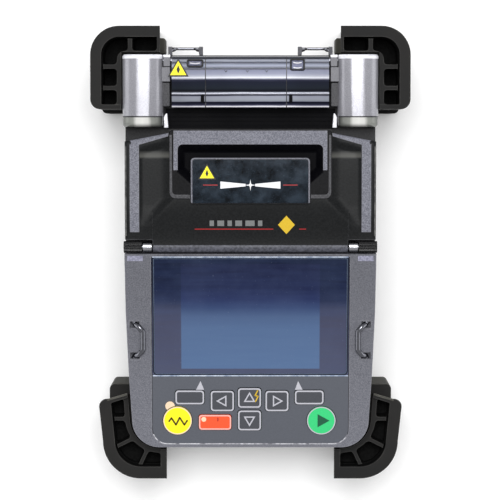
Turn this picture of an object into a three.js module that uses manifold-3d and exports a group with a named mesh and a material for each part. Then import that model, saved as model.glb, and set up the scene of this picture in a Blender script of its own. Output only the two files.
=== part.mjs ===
// Handheld fiber fusion splicer, lying on its rubber corner bumpers with the screen up.
// Units are millimetres. +X is the operator's right, +Y points away from the operator, +Z is up.
// The origin is at the centre of the footprint, on the surface that the bumpers stand on.
import * as THREE from "three";
import { mergeVertices } from "three/addons/utils/BufferGeometryUtils.js";
import Module from "manifold-3d";

const wasm = await Module();
wasm.setup();

// ---------------------------------------------------------------- driving dimensions
const GAP = 0.4; // air between neighbouring pieces
const WALL = 2.4; // moulded wall of the casings

// Body outline, seen from above
const BODY_HALF_WIDTH = 63.5;
const BODY_REAR = 101;
const BODY_FRONT = -99;
const REAR_CORNER_R = 7;
const FRONT_CORNER_R = 14;
const FRONT_TAPER = 4.3e-4; // the sides draw in by this times Y squared, ahead of Y = 0

// Heights
const CASING_BOTTOM = 5;
const PARTING_Z = 36;
const DECK_Z = 62; // rim of the splice chamber and heater deck
const WELL_FLOOR_Z = 50;
const TOP_Z = 81.5; // highest point, the plate on the wind cover

// Screen and key panel: a sloping tray in its own tilted group
const PANEL_SLOPE = THREE.MathUtils.degToRad(7);
const PANEL_REAR = 0.6;
const PANEL_REAR_Z = 75;
const PANEL_DEPTH = 8;
const OVERLAY_HALF_WIDTH = 49.9;
const SCREEN_NEAR = -62.5; // along the slope, from the panel's rear edge
const SCREEN_FAR = -1.4;
const KEYS_NEAR = -98.4;
const KEYS_FAR = -62.9;
const KEYS_NEAR_R = 7.6;
const KEY_TRAVEL = 0.6;

// Wind cover and its hinge
const HINGE_Y = 4.3;
const HINGE_Z = 72.6;
const HINGE_R = 3;
const COVER_BOTTOM = 63.3;
const COVER_REAR = 63.1;
const SHOULDER_Z = 76.6;

// Splice stage
const FIBER_Y = 35;
const FIBER_Z = 64;

// Sleeve heater
const HEATER_REAR = 99.6;
const HEATER_FRONT = 74.5;
const HEATER_HALF_WIDTH = 39.4;
const HEATER_TOP = 72;
const HEATER_GROOVE_Y = 85.3;
const ROD_Y = 98.2;
const ROD_Z = 71;
const ROD_R = 1.25;

// Corner bumpers
const REAR_BUMPER_TOP = 70;
const FRONT_BUMPER_TOP = 56.5;
const BUMPER_WALL = 5.5;
const BUMPER_INNER_WALL = 2.7;
const BUMPER_RIB = 2.3;

// ---------------------------------------------------------------- shape helpers
function solidOf(geometry) {
  const bare = geometry.index ? geometry.toNonIndexed() : geometry.clone();
  for (const name of Object.keys(bare.attributes)) {
    if (name !== "position") bare.deleteAttribute(name);
  }
  const merged = mergeVertices(bare, 1e-4);
  return new wasm.Manifold(
    new wasm.Mesh({
      numProp: 3,
      vertProperties: merged.attributes.position.array,
      triVerts: new Uint32Array(merged.index.array),
    }),
  );
}

function geometryOf(solid) {
  const mesh = solid.getMesh();
  const geometry = new THREE.BufferGeometry();
  geometry.setAttribute("position", new THREE.BufferAttribute(mesh.vertProperties, 3));
  geometry.setIndex(new THREE.BufferAttribute(mesh.triVerts, 1));
  geometry.computeVertexNormals();
  return geometry;
}

// A box between two corners
function box(x0, x1, y0, y1, z0, z1) {
  const geometry = new THREE.BoxGeometry(x1 - x0, y1 - y0, z1 - z0);
  geometry.translate((x0 + x1) / 2, (y0 + y1) / 2, (z0 + z1) / 2);
  return solidOf(geometry);
}

// A cylinder of radius r about a line along axis, from a to b
function rod(axis, a, b, r, p, q, sides = 20) {
  const geometry = new THREE.CylinderGeometry(r, r, b - a, sides);
  geometry.translate(0, (a + b) / 2, 0);
  if (axis === "x") {
    geometry.rotateZ(-Math.PI / 2).translate(0, p, q);
  } else if (axis === "y") {
    geometry.translate(p, 0, q);
  } else {
    geometry.rotateX(Math.PI / 2).translate(p, q, 0);
  }
  return solidOf(geometry);
}

// An outline in X and Y, raised from z0 to z1
function prismZ(shape, z0, z1, curveSegments = 6) {
  const geometry = new THREE.ExtrudeGeometry(shape, { depth: z1 - z0, bevelEnabled: false, curveSegments });
  geometry.translate(0, 0, z0);
  return solidOf(geometry);
}

// An outline in Y and Z, swept from x0 to x1
function prismX(shape, x0, x1, curveSegments = 6) {
  const geometry = new THREE.ExtrudeGeometry(shape, { depth: x1 - x0, bevelEnabled: false, curveSegments });
  geometry.applyMatrix4(new THREE.Matrix4().set(0, 0, 1, x0, 1, 0, 0, 0, 0, 1, 0, 0, 0, 0, 0, 1));
  return solidOf(geometry);
}

// An outline in X and Z, swept from y0 to y1
function prismY(shape, y0, y1, curveSegments = 6) {
  const geometry = new THREE.ExtrudeGeometry(shape, { depth: y1 - y0, bevelEnabled: false, curveSegments });
  geometry.applyMatrix4(new THREE.Matrix4().set(1, 0, 0, 0, 0, 0, -1, y1, 0, 1, 0, 0, 0, 0, 0, 1));
  return solidOf(geometry);
}

function polygon(points) {
  return new THREE.Shape(points.map(([a, b]) => new THREE.Vector2(a, b)));
}

function roundedRect(x0, x1, y0, y1, r) {
  const shape = new THREE.Shape();
  shape.moveTo(x0 + r, y0);
  shape.lineTo(x1 - r, y0);
  shape.absarc(x1 - r, y0 + r, r, -Math.PI / 2, 0);
  shape.absarc(x1 - r, y1 - r, r, 0, Math.PI / 2);
  shape.absarc(x0 + r, y1 - r, r, Math.PI / 2, Math.PI);
  shape.absarc(x0 + r, y0 + r, r, Math.PI, 1.5 * Math.PI);
  return shape;
}

function mirrored(solid) {
  return solid.mirror([1, 0, 0]);
}

// Half the body's width at y
function halfWidth(y) {
  return BODY_HALF_WIDTH - (y < 0 ? FRONT_TAPER * y * y : 0);
}

// The body's outline from above, grown by offset
function bodyShape(offset, rear = BODY_REAR) {
  const cornerY = BODY_FRONT + FRONT_CORNER_R;
  const cornerX = halfWidth(cornerY) - FRONT_CORNER_R;
  const rearX = BODY_HALF_WIDTH - REAR_CORNER_R;
  const rearY = rear - REAR_CORNER_R;
  const shape = new THREE.Shape();
  shape.moveTo(-cornerX, BODY_FRONT - offset);
  shape.lineTo(cornerX, BODY_FRONT - offset);
  shape.absarc(cornerX, cornerY, FRONT_CORNER_R + offset, -Math.PI / 2, 0);
  for (const y of [-60, -30, 0]) {
    shape.lineTo(halfWidth(y) + offset, y);
  }
  shape.absarc(rearX, rearY, REAR_CORNER_R + offset, 0, Math.PI / 2);
  shape.absarc(-rearX, rearY, REAR_CORNER_R + offset, Math.PI / 2, Math.PI);
  for (const y of [0, -30, -60]) {
    shape.lineTo(-halfWidth(y) - offset, y);
  }
  shape.absarc(-cornerX, cornerY, FRONT_CORNER_R + offset, Math.PI, 1.5 * Math.PI);
  return shape;
}

// Height of the panel's upper face at y
function panelTop(y) {
  return PANEL_REAR_Z + (y - PANEL_REAR) * Math.tan(PANEL_SLOPE);
}

// ---------------------------------------------------------------- materials
function material(color, roughness, metalness = 0) {
  return new THREE.MeshStandardMaterial({ color, roughness, metalness });
}

const MATERIALS = {
  casing: material(0x2b2c2f, 0.6),
  frame: material(0x6c6b74, 0.5),
  rubber: material(0x1d1e1f, 0.85),
  cover: material(0x26272a, 0.5),
  gloss: material(0x0c1118, 0.08),
  screen: material(0x3c4c80, 0.15),
  overlay: material(0x5f6369, 0.5),
  keyGrey: material(0x5a5e64, 0.5),
  keyYellow: material(0xf7ee2e, 0.5),
  keyGreen: material(0x3fcf74, 0.5),
  keyOrange: material(0xff6a3c, 0.5),
  silver: material(0xa6a5ab, 0.3, 0.6),
  clear: material(0xb8b8cc, 0.1),
  steel: material(0xb9bbc0, 0.25, 1),
  aluminium: material(0xa7a9ac, 0.4, 1),
  ceramic: material(0xe9e6de, 0.4),
  black: material(0x18181a, 0.5),
  board: material(0x1f5a35, 0.6),
  brass: material(0xb58f3f, 0.35, 1),
  lens: material(0x202632, 0.2),
};

const splicer = new THREE.Group();
splicer.name = "fusion_splicer";

function add(name, geometry, finish, parent = splicer) {
  const mesh = new THREE.Mesh(geometry, MATERIALS[finish]);
  mesh.name = name;
  parent.add(mesh);
  return mesh;
}

// ---------------------------------------------------------------- casings
const BATTERY = { x0: -63.2, x1: 32, y0: -58, y1: 2, z0: 9, z1: 33 };

function lowerCasing() {
  let tub = prismZ(bodyShape(0), CASING_BOTTOM, PARTING_Z);
  tub = tub.subtract(prismZ(bodyShape(-WALL), CASING_BOTTOM + WALL, PARTING_Z + 1));
  const rail = 2;
  const railTop = BATTERY.z1 + 1;
  const floor = CASING_BOTTOM + WALL - 0.5;
  const { x1, y0, y1 } = BATTERY;
  for (const y of [y0 - GAP - rail, y1 + GAP]) {
    tub = tub.add(box(-60, x1 + GAP + rail, y, y + rail, floor, railTop));
  }
  tub = tub.add(box(x1 + GAP, x1 + GAP + rail, y0 - GAP - rail, y1 + GAP + rail, floor, railTop));
  tub = tub.subtract(box(-70, -58, y0 - GAP, y1 + GAP, BATTERY.z0 - GAP, BATTERY.z1 + GAP));
  tub = tub.subtract(rod("z", 0, CASING_BOTTOM + WALL + 1, 7, 0, 20));
  return tub;
}

function upperCasing() {
  const under = PANEL_DEPTH + GAP;
  const side = polygon([
    [BODY_FRONT - 1, PARTING_Z + GAP],
    [BODY_REAR + 1, PARTING_Z + GAP],
    [BODY_REAR + 1, DECK_Z],
    [PANEL_REAR, DECK_Z],
    [PANEL_REAR, panelTop(PANEL_REAR) - under],
    [BODY_FRONT - 1, panelTop(BODY_FRONT - 1) - under],
  ]);
  const inside = polygon([
    [BODY_FRONT - 1, PARTING_Z - 1],
    [BODY_REAR + 1, PARTING_Z - 1],
    [BODY_REAR + 1, DECK_Z - WALL],
    [-WALL, DECK_Z - WALL],
    [-WALL, panelTop(-WALL) - under - WALL],
    [BODY_FRONT - 1, panelTop(BODY_FRONT - 1) - under - WALL],
  ]);
  let shell = prismZ(bodyShape(0), PARTING_Z, TOP_Z).intersect(prismX(side, -70, 70));
  const cavity = prismZ(bodyShape(-WALL), PARTING_Z - 2, TOP_Z).intersect(prismX(inside, -70, 70));
  shell = shell.subtract(cavity);
  // splice chamber well
  shell = shell.add(box(-58.5, 58.5, 7.5, 59.5, WELL_FLOOR_Z - 1.6, DECK_Z - 1));
  shell = shell.subtract(box(-57, 57, 9, 58, WELL_FLOOR_Z, DECK_Z + 1));
  shell = shell.subtract(box(-9, 9, FIBER_Y - 17, FIBER_Y + 17, WELL_FLOOR_Z - 3, WELL_FLOOR_Z + 1));
  // posts under the wind cover's hinge collars
  for (const sign of [-1, 1]) {
    const x = sign * 52;
    shell = shell.add(box(x - 2, x + 2, 2, 6.6, DECK_Z - 1, HINGE_Z - HINGE_R));
    // heater clamp pad, with the groove that the fiber lies in
    const pad = sign * 53.5;
    shell = shell.add(box(pad - 7, pad + 7, 70, 93, DECK_Z - 1, 67));
    shell = shell.subtract(box(pad - 8, pad + 8, HEATER_GROOVE_Y - 1, HEATER_GROOVE_Y + 1, 65.4, 68));
    // lug that holds the heater's hinge rod
    const lug = sign * 42;
    shell = shell.add(box(lug - 1.3, lug + 1.3, 95, BODY_REAR - 0.2, DECK_Z - 1, ROD_Z + 2.4));
    // lugs for the rear strap rings
    for (const end of [-1, 1]) {
      const at = sign * REAR_RING.x + end * (REAR_RING.halfLength + 1.6);
      const [low, high] = [REAR_RING.z - 2, REAR_RING.z + 2.4];
      shell = shell.add(box(at - 0.9, at + 0.9, BODY_REAR - 1, REAR_RING.y + 1.8, low, high));
    }
  }
  shell = shell.subtract(rod("x", -60, 60, ROD_R + 0.4, ROD_Y, ROD_Z, 16));
  shell = shell.subtract(rod("x", -46, 46, REAR_RING.wireR + 0.4, REAR_RING.y, REAR_RING.z, 12));
  // port bay in the right side
  shell = shell.subtract(box(58, 70, PORT.y0 - 1, PORT.y1 + 1, PORT.z0 - 1, PORT.z1 + 1));
  return shell;
}

// ---------------------------------------------------------------- screen and key panel
const panel = new THREE.Group();
panel.position.set(0, PANEL_REAR, PANEL_REAR_Z);
panel.rotation.x = PANEL_SLOPE;

// The panel's own outline in the tilted frame, where y runs down the slope from the rear edge
function panelShape(inset) {
  const stretch = 1 / Math.cos(PANEL_SLOPE);
  const near = (BODY_FRONT - PANEL_REAR) * stretch + inset;
  const cornerR = FRONT_CORNER_R - inset;
  const cornerY = near + cornerR;
  const cornerX = halfWidth(BODY_FRONT + FRONT_CORNER_R) - FRONT_CORNER_R;
  const shape = new THREE.Shape();
  shape.moveTo(-cornerX, near);
  shape.lineTo(cornerX, near);
  shape.absarc(cornerX, cornerY, cornerR, -Math.PI / 2, 0);
  for (const y of [-60, -30, 0]) {
    shape.lineTo(halfWidth(y) - inset, y === 0 ? -inset : y);
  }
  for (const y of [0, -30, -60]) {
    shape.lineTo(inset - halfWidth(y), y === 0 ? -inset : y);
  }
  shape.absarc(-cornerX, cornerY, cornerR, Math.PI, 1.5 * Math.PI);
  return shape;
}

// Outline of the glued overlay: square-shouldered at the far end, rounded at the near one
function overlayShape(grow, near, far, farR) {
  const x = OVERLAY_HALF_WIDTH + grow;
  const nearR = near > KEYS_NEAR + 1 ? farR : KEYS_NEAR_R;
  const shape = new THREE.Shape();
  shape.moveTo(nearR - x, near - grow);
  shape.lineTo(x - nearR, near - grow);
  shape.absarc(x - nearR, near - grow + nearR, nearR, -Math.PI / 2, 0);
  shape.absarc(x - farR, far + grow - farR, farR, 0, Math.PI / 2);
  shape.absarc(farR - x, far + grow - farR, farR, Math.PI / 2, Math.PI);
  shape.absarc(nearR - x, near - grow + nearR, nearR, Math.PI, 1.5 * Math.PI);
  return shape;
}

// Sunk wire-form rings for a neck strap
const FRONT_RING = {
  x: 59,
  y: -44.2,
  z: -1.6,
  halfLength: 8.7,
  reach: 5.2,
  straight: 4.6,
  wireR: 1,
  rise: 2.85,
};

function panelFrame() {
  let frame = prismZ(panelShape(0), -PANEL_DEPTH, 0);
  frame = frame.subtract(prismZ(panelShape(WALL), -PANEL_DEPTH - 1, -3.4));
  frame = frame.subtract(prismZ(overlayShape(0.3, KEYS_NEAR, SCREEN_FAR, 0.9), -1.8, 1, 3));
  frame = frame.subtract(box(-39.5, 39.5, -60.5, -2.5, -9, 0));
  frame = frame.subtract(box(-46, 46, -96, -64, -9, 0));
  const { x, y, z, halfLength, wireR } = FRONT_RING;
  for (const sign of [-1, 1]) {
    const inner = sign * (x - 4.6);
    const outer = sign * (x + 2.6);
    const [x0, x1] = [Math.min(inner, outer), Math.max(inner, outer)];
    frame = frame.add(box(x0, x1, y - halfLength - 4, y + halfLength + 4, -5, -3));
    for (const end of [-1, 1]) {
      const [slotIn, slotOut] = [sign * (x - 3.6), sign * (x + 2.3)];
      const at = y + end * (halfLength - 0.7);
      const [s0, s1] = [Math.min(slotIn, slotOut), Math.max(slotIn, slotOut)];
      frame = frame.subtract(box(s0, s1, at - 2.2, at + 2.2, -3.4, 1));
    }
    const bearing = halfLength + 2.6;
    frame = frame.subtract(rod("y", y - bearing, y + bearing, wireR + 0.35, sign * x, z, 12));
  }
  return frame;
}

// Keys in the tilted frame: a rectangle as x0, x1, y0, y1, or a disc as x, y and radius
const KEYS = [
  { name: "key_soft_left", finish: "keyGrey", rect: [-38.2, -23.6, -77.6, -70.4] },
  { name: "key_left", finish: "keyGrey", rect: [-20.2, -8.4, -81.2, -70.6] },
  { name: "key_up", finish: "keyGrey", rect: [-6.3, 5.4, -79.4, -69.2] },
  { name: "key_down", finish: "keyGrey", rect: [-6.3, 5.4, -91.3, -80.9] },
  { name: "key_right", finish: "keyGrey", rect: [7.7, 19.4, -81.2, -70.6] },
  { name: "key_soft_right", finish: "keyGrey", rect: [22.7, 37.3, -77.6, -70.4] },
  { name: "key_heat", finish: "keyYellow", disc: [-37.2, -86.2, 7.3] },
  { name: "key_power", finish: "keyOrange", rect: [-26.3, -9.8, -91.0, -83.2] },
  { name: "key_start", finish: "keyGreen", disc: [36.2, -86.2, 7.3] },
];

function keyPrism(key, grow, z0, z1) {
  if (key.disc) {
    const [x, y, r] = key.disc;
    return rod("z", z0, z1, r + grow, x, y, 24);
  }
  const [x0, x1, y0, y1] = key.rect;
  return prismZ(roundedRect(x0 - grow, x1 + grow, y0 - grow, y1 + grow, 1.3 + grow), z0, z1, 2);
}

function screenWindow() {
  const outline = roundedRect(-OVERLAY_HALF_WIDTH, OVERLAY_HALF_WIDTH, SCREEN_NEAR, SCREEN_FAR, 1);
  return prismZ(outline, -1.5, -0.1, 3);
}

function keypadPlate() {
  let plate = prismZ(overlayShape(0, KEYS_NEAR, KEYS_FAR, 0.6), -1.5, -0.2, 3);
  for (const key of KEYS) {
    plate = plate.subtract(keyPrism(key, 0.35, -3, 1));
  }
  return plate;
}

// A bent-wire ring. Its pins lie on the Y axis, its legs rise by rise and it reaches out along +X.
function strapRing({ halfLength, reach, straight, wireR, rise }) {
  const half = [
    [0, halfLength + 2.1, 0],
    [0, halfLength + 0.5, 0],
    [0.4, halfLength - 0.4, rise * 0.15],
    [1.3, halfLength - 0.9, rise * 0.55],
    [2.5, halfLength - 1.5, rise * 0.9],
    [reach - 1.1, straight + 1.3, rise],
    [reach - 0.2, straight + 0.2, rise],
    [reach, straight - 1.2, rise],
  ];
  const far = half.map(([x, y, z]) => [x, -y, z]).reverse();
  const path = new THREE.CatmullRomCurve3(
    [...half, ...far].map((p) => new THREE.Vector3(...p)),
    false,
    "centripetal",
  );
  const sides = 8;
  const section = new THREE.Shape();
  for (let i = 0; i < sides; i++) {
    const a = (i / sides) * 2 * Math.PI;
    section[i ? "lineTo" : "moveTo"](wireR * Math.cos(a), wireR * Math.sin(a));
  }
  return new THREE.ExtrudeGeometry(section, { steps: 30, extrudePath: path, bevelEnabled: false });
}

function buildPanel() {
  splicer.add(panel);
  add("panel_frame", geometryOf(panelFrame()), "frame", panel);
  add("screen_window", geometryOf(screenWindow()), "gloss", panel);
  add("screen_module", geometryOf(box(-38.8, 38.8, -60, -3, -6.4, -1.9)), "screen", panel);
  add("keypad_plate", geometryOf(keypadPlate()), "overlay", panel);
  add("key_board", geometryOf(box(-45.5, 45.5, -95.5, -64.5, -5.4, -3.8)), "board", panel);
  for (const key of KEYS) {
    add(key.name, geometryOf(keyPrism(key, 0, -2.2, 0.25)), key.finish, panel);
  }
  for (const [side, sign] of [["left", -1], ["right", 1]]) {
    const ring = add(`strap_ring_front_${side}`, strapRing(FRONT_RING), "steel", panel);
    ring.position.set(sign * FRONT_RING.x, FRONT_RING.y, FRONT_RING.z);
    ring.rotation.z = sign < 0 ? 0 : Math.PI;
  }
}

// ---------------------------------------------------------------- wind cover
function coverPlan(inset) {
  const rear = COVER_REAR - inset;
  const side = BODY_HALF_WIDTH - 0.3 - inset;
  return polygon([
    [-side, 8 + inset],
    [-49.2 + inset, 8 + inset],
    [-49.2 + inset, HINGE_Y + inset],
    [49.2 - inset, HINGE_Y + inset],
    [49.2 - inset, 8 + inset],
    [side, 8 + inset],
    [side, rear - 5.6],
    [41.2 - inset, rear - 1.2],
    [40.4 - inset, rear],
    [inset - 40.4, rear],
    [inset - 41.2, rear - 1.2],
    [-side, rear - 5.6],
  ]);
}

const GRIP = { x0: -36, x1: 36, y0: 31.5, y1: 56.1, floor: 75.4 };
const PLATE = { half: 30, y0: 27.2, y1: 49.2 };

function windCover() {
  const side = polygon([
    [HINGE_Y, COVER_BOTTOM],
    [COVER_REAR, COVER_BOTTOM],
    [COVER_REAR, SHOULDER_Z - 1.4],
    [COVER_REAR - 2.4, SHOULDER_Z],
    [24, SHOULDER_Z],
    [HINGE_Y + 3, HINGE_Z + HINGE_R - 0.4],
    [HINGE_Y, HINGE_Z + HINGE_R - 0.2],
  ]);
  let cover = prismZ(coverPlan(0), COVER_BOTTOM, TOP_Z).intersect(prismX(side, -70, 70));
  cover = cover.add(rod("x", -49.2, 49.2, HINGE_R - 0.1, HINGE_Y, HINGE_Z, 24));
  // raised middle, its finger recess, and the block that carries the plate
  const crown = polygon([
    [16, 75],
    [COVER_REAR, 75],
    [COVER_REAR, 78.4],
    [COVER_REAR - 1.2, 79.6],
    [29, 79.6],
  ]);
  cover = cover.add(prismX(crown, -40.4, 40.4));
  cover = cover.subtract(box(GRIP.x0, GRIP.x1, GRIP.y0, GRIP.y1, GRIP.floor, 90));
  const seatHalf = PLATE.half + 0.6;
  const seat = roundedRect(-seatHalf, seatHalf, PLATE.y0, PLATE.y1 + 0.6, 2);
  cover = cover.add(prismZ(seat, 75, 80.4, 3));
  // scooped shoulders
  for (const sign of [-1, 1]) {
    const scoop = polygon([
      [sign * 56.3, 14],
      [sign * 56.3, 54],
      [sign * 42.5, 57.6],
      [sign * 42.5, 14],
    ]);
    cover = cover.subtract(prismZ(scoop, SHOULDER_Z - 1.5, 90));
  }
  // hollow inside
  const cavity = prismZ(coverPlan(WALL), COVER_BOTTOM - 1, 73);
  cover = cover.subtract(cavity.subtract(box(-70, 70, 0, 9.6, 60, 80)));
  cover = cover.subtract(box(-27.5, 27.5, 29.5, 47.5, 70, 78.4));
  // the fiber passes under the side walls
  cover = cover.subtract(box(-70, 70, FIBER_Y - 4, FIBER_Y + 4, COVER_BOTTOM - 1, COVER_BOTTOM + 2.4));
  return cover;
}

function coverPlate() {
  return prismZ(roundedRect(-PLATE.half, PLATE.half, PLATE.y0 + 0.4, PLATE.y1, 1.6), 80.8, TOP_Z, 3);
}

function hingeBarrel(sign) {
  const flutes = 14;
  const outline = new THREE.Shape();
  for (let i = 0; i < flutes * 2; i++) {
    const a = (i / (flutes * 2)) * 2 * Math.PI;
    const r = i % 2 ? HINGE_R - 0.5 : HINGE_R;
    outline[i ? "lineTo" : "moveTo"](HINGE_Y + r * Math.cos(a), HINGE_Z + r * Math.sin(a));
  }
  const barrel = prismX(outline, 54.6, 63.9).subtract(rod("x", 50, 62.4, 1.4, HINGE_Y, HINGE_Z, 12));
  return sign < 0 ? mirrored(barrel) : barrel;
}

function hingePin(sign) {
  const collar = rod("x", 49.7, 54.2, 2.6, HINGE_Y, HINGE_Z, 20);
  const pin = collar.add(rod("x", 54, 62, 1.1, HINGE_Y, HINGE_Z, 12));
  return sign < 0 ? mirrored(pin) : pin;
}

function coverSeal() {
  const outer = box(-61.5, 61.5, 9.6, 61, DECK_Z + 0.3, COVER_BOTTOM - 0.3);
  const notch = box(-70, 70, FIBER_Y - 4, FIBER_Y + 4, DECK_Z + 0.7, 70);
  const corners = polygon([
    [-61.5, 0],
    [61.5, 0],
    [61.5, 56],
    [41, 60.4],
    [-41, 60.4],
    [-61.5, 56],
  ]);
  const opening = box(-59, 59, 11.4, 56.4, 60, 66);
  return outer.intersect(prismZ(corners, 60, 66)).subtract(opening).subtract(notch);
}

// ---------------------------------------------------------------- splice stage
function chassis() {
  let block = box(-16, 16, 13, 57, WELL_FLOOR_Z + GAP, 60.4);
  block = block.subtract(box(-8, 8, FIBER_Y - 14.5, FIBER_Y + 14.5, 40, 70));
  block = block.subtract(box(-30, 30, FIBER_Y - 3.4, FIBER_Y + 3.4, 56, 70));
  for (const y of [17, 47]) {
    block = block.add(box(-5, 5, y, y + 6, 60, 62.2));
  }
  return block;
}

function electrode(sign) {
  // sharpened tungsten rod in a round holder, lying along Y and pointing at the fiber
  const profile = [
    [0, 1.6],
    [1.1, 6],
    [1.1, 9],
    [2.4, 9.2],
    [2.4, 19],
    [0, 19],
  ].map(([r, y]) => new THREE.Vector2(r, y));
  const geometry = new THREE.LatheGeometry(profile, 12);
  if (sign < 0) {
    geometry.rotateX(Math.PI);
  }
  geometry.translate(0, FIBER_Y, FIBER_Z + 0.9);
  return geometry;
}

// Carriage that feeds one fiber: slide, clamp lugs and the push rod of its linear motor
function stage() {
  let carriage = box(-50, -21.5, 26, 45, WELL_FLOOR_Z + 1, 60);
  carriage = carriage.add(box(-30, -26.5, 12.5, 26.5, 52.5, 59.5));
  carriage = carriage.add(rod("x", -45, -27, 1.3, 16.5, 56, 12));
  for (const x of [-47.4, -37]) {
    carriage = carriage.add(box(x, x + 2, 40.6, 44, 59.5, 63.2));
  }
  // the clamp's hinge pin spans the two lugs
  return carriage.add(rod("x", -47, -35.4, 0.7, 42.4, 61.8, 10));
}

function vGroove() {
  const section = polygon([
    [31, 60.4],
    [39, 60.4],
    [39, 63.4],
    [FIBER_Y + 0.9, 63.4],
    [FIBER_Y, 62.4],
    [FIBER_Y - 0.9, 63.4],
    [31, 63.4],
  ]);
  return prismX(section, -30, -22);
}

function fiberClamp() {
  let lid = box(-44.8, -37.6, 33.4, 41.2, 60.8, 62.8).add(box(-45.1, -37.3, 41, 43.2, 60.8, 62.8));
  lid = lid.add(box(-43.4, -39, 32.8, 33.8, 61.6, 63.4));
  return lid.subtract(rod("x", -50, -30, 0.95, 42.4, 61.8, 10));
}

function feedMotor() {
  const can = rod("x", -55, -37, 5, 16.5, 56, 20).add(rod("x", -37.2, -36, 2.6, 16.5, 56, 16));
  return can.subtract(rod("x", -49, -35, 1.7, 16.5, 56, 12));
}

// A microscope looks up at the fiber from below, leaning to one side
const MICROSCOPE_LEAN = THREE.MathUtils.degToRad(32);

function microscope() {
  const profile = [
    [0, -40],
    [7.5, -40],
    [7.5, -36],
    [5.4, -35.5],
    [5.4, -20],
    [3.4, -17.5],
    [0, -17.5],
  ].map(([r, y]) => new THREE.Vector2(r, y));
  return new THREE.LatheGeometry(profile, 16);
}

// ---------------------------------------------------------------- sleeve heater
function heaterBlock() {
  const block = box(-HEATER_HALF_WIDTH, HEATER_HALF_WIDTH, HEATER_FRONT, 95.1, DECK_Z + GAP, HEATER_TOP);
  const groove = polygon([
    [HEATER_GROOVE_Y - 2.9, 75],
    [HEATER_GROOVE_Y - 2.7, 66.2],
    [HEATER_GROOVE_Y + 2.7, 66.2],
    [HEATER_GROOVE_Y + 2.9, 75],
  ]);
  return block.subtract(prismX(groove, -50, 50));
}

function heaterLid() {
  const outer = polygon([
    [HEATER_FRONT, HEATER_TOP + GAP],
    [HEATER_REAR, HEATER_TOP + GAP],
    [HEATER_REAR + 0.6, 73.6],
    [HEATER_REAR, 75.4],
    [93, 76.4],
    [86, 77.4],
    [80, 76.6],
    [HEATER_FRONT, 74.2],
  ]);
  const inner = polygon([
    [HEATER_FRONT + 1.4, 70],
    [94.6, 70],
    [94.6, 74.4],
    [86, 75.6],
    [80, 74.8],
    [HEATER_FRONT + 1.4, 73],
  ]);
  let lid = prismX(outer, -HEATER_HALF_WIDTH, HEATER_HALF_WIDTH);
  lid = lid.subtract(prismX(inner, -HEATER_HALF_WIDTH + 1.4, HEATER_HALF_WIDTH - 1.4));
  lid = lid.subtract(box(-50, 50, HEATER_GROOVE_Y - 1, HEATER_GROOVE_Y + 1, 70, 74));
  lid = lid.add(rod("x", -HEATER_HALF_WIDTH, HEATER_HALF_WIDTH, 2.6, ROD_Y, ROD_Z, 16));
  return lid.subtract(rod("x", -50, 50, ROD_R + 0.25, ROD_Y, ROD_Z, 16));
}

// Arched cover over each end of the heater, which clamps the fiber
const CLAMP = { x0: 43.9, x1: 64.3, y0: 64.9, y1: BODY_REAR, spring: 71, crown: 78.6 };

function archShape(inset) {
  const { x0, x1, spring, crown } = CLAMP;
  const shape = new THREE.Shape();
  const middle = (x0 + x1) / 2;
  shape.moveTo(x0 + inset, DECK_Z + GAP + 0.6);
  shape.lineTo(x1 - inset, DECK_Z + GAP + 0.6);
  shape.lineTo(x1 - inset, spring);
  shape.absellipse(middle, spring, (x1 - x0) / 2 - inset, crown - spring - inset, 0, Math.PI, false, 0);
  return shape;
}

function heaterClamp(sign) {
  const { x0, x1, y0, y1 } = CLAMP;
  let clamp = prismY(archShape(0), y0, y1, 8);
  const nose = polygon([
    [y0 - 1, DECK_Z],
    [y0, DECK_Z],
    [y0 + 0.6, 68],
    [y0 + 5, 80],
    [y0 - 1, 80],
  ]);
  clamp = clamp.subtract(prismX(nose, x0 - 1, x1 + 1));
  clamp = clamp.subtract(prismY(archShape(1.8), y0 + 5, 94.4, 8));
  clamp = clamp.subtract(box(x0 + 1.8, x1 - 1.8, y0 + 1.8, 94.4, 60, 68));
  // the deck and hinge side are cut back so that the cover can swing up
  clamp = clamp.subtract(box(x0 - 1, x1 + 1, 94.4, y1 + 1, 60, ROD_Z - 3));
  clamp = clamp.subtract(box(x0 - 1, x1 + 1, HEATER_GROOVE_Y - 1.2, HEATER_GROOVE_Y + 1.2, 60, 67.4));
  const heel = polygon([
    [ROD_Y + 1, ROD_Z - 4],
    [y1 + 1, ROD_Z - 4],
    [y1 + 1, ROD_Z + 0.8],
    [y1, ROD_Z - 0.4],
  ]);
  clamp = clamp.subtract(prismX(heel, x0 - 1, x1 + 1));
  clamp = clamp.subtract(rod("x", 40, 63, ROD_R + 0.25, ROD_Y, ROD_Z, 16));
  return sign < 0 ? mirrored(clamp) : clamp;
}

// ---------------------------------------------------------------- corner bumpers
const REAR_BUMPER = { side: 80.7, end: 115.6, cornerR: 14.6, arm: 73.6, inward: 45.5 };
const FRONT_BUMPER = { side: 78.1, corner: 75.9, end: -116.1, cornerR: 19.5, arm: -74.8, inward: 43 };
const STEP_TOP = 34; // each side arm is longer below this height
const REAR_STEP = { x1: 77.2, y0: 71.8, y1: 78 };
const FRONT_STEP = { x1: 73.8, y0: -78, y1: -68 };
const STEP_R = 2.5;

function rearBumperShape(inset) {
  const { side, end, cornerR, arm, inward } = REAR_BUMPER;
  const r = cornerR - inset;
  const tip = Math.max(5 - inset, 0.6);
  const armY = arm + (inset ? 2 : 0);
  const shape = new THREE.Shape();
  shape.moveTo(40, armY);
  shape.lineTo(side - inset - tip, armY);
  shape.absarc(side - inset - tip, armY + tip, tip, -Math.PI / 2, 0);
  shape.absarc(side - cornerR, end - cornerR, r, 0, Math.PI / 2);
  shape.lineTo(inset ? 40 : inward, end - inset);
  shape.lineTo(inset ? 40 : inward, 90);
  shape.lineTo(40, 90);
  return shape;
}

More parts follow.
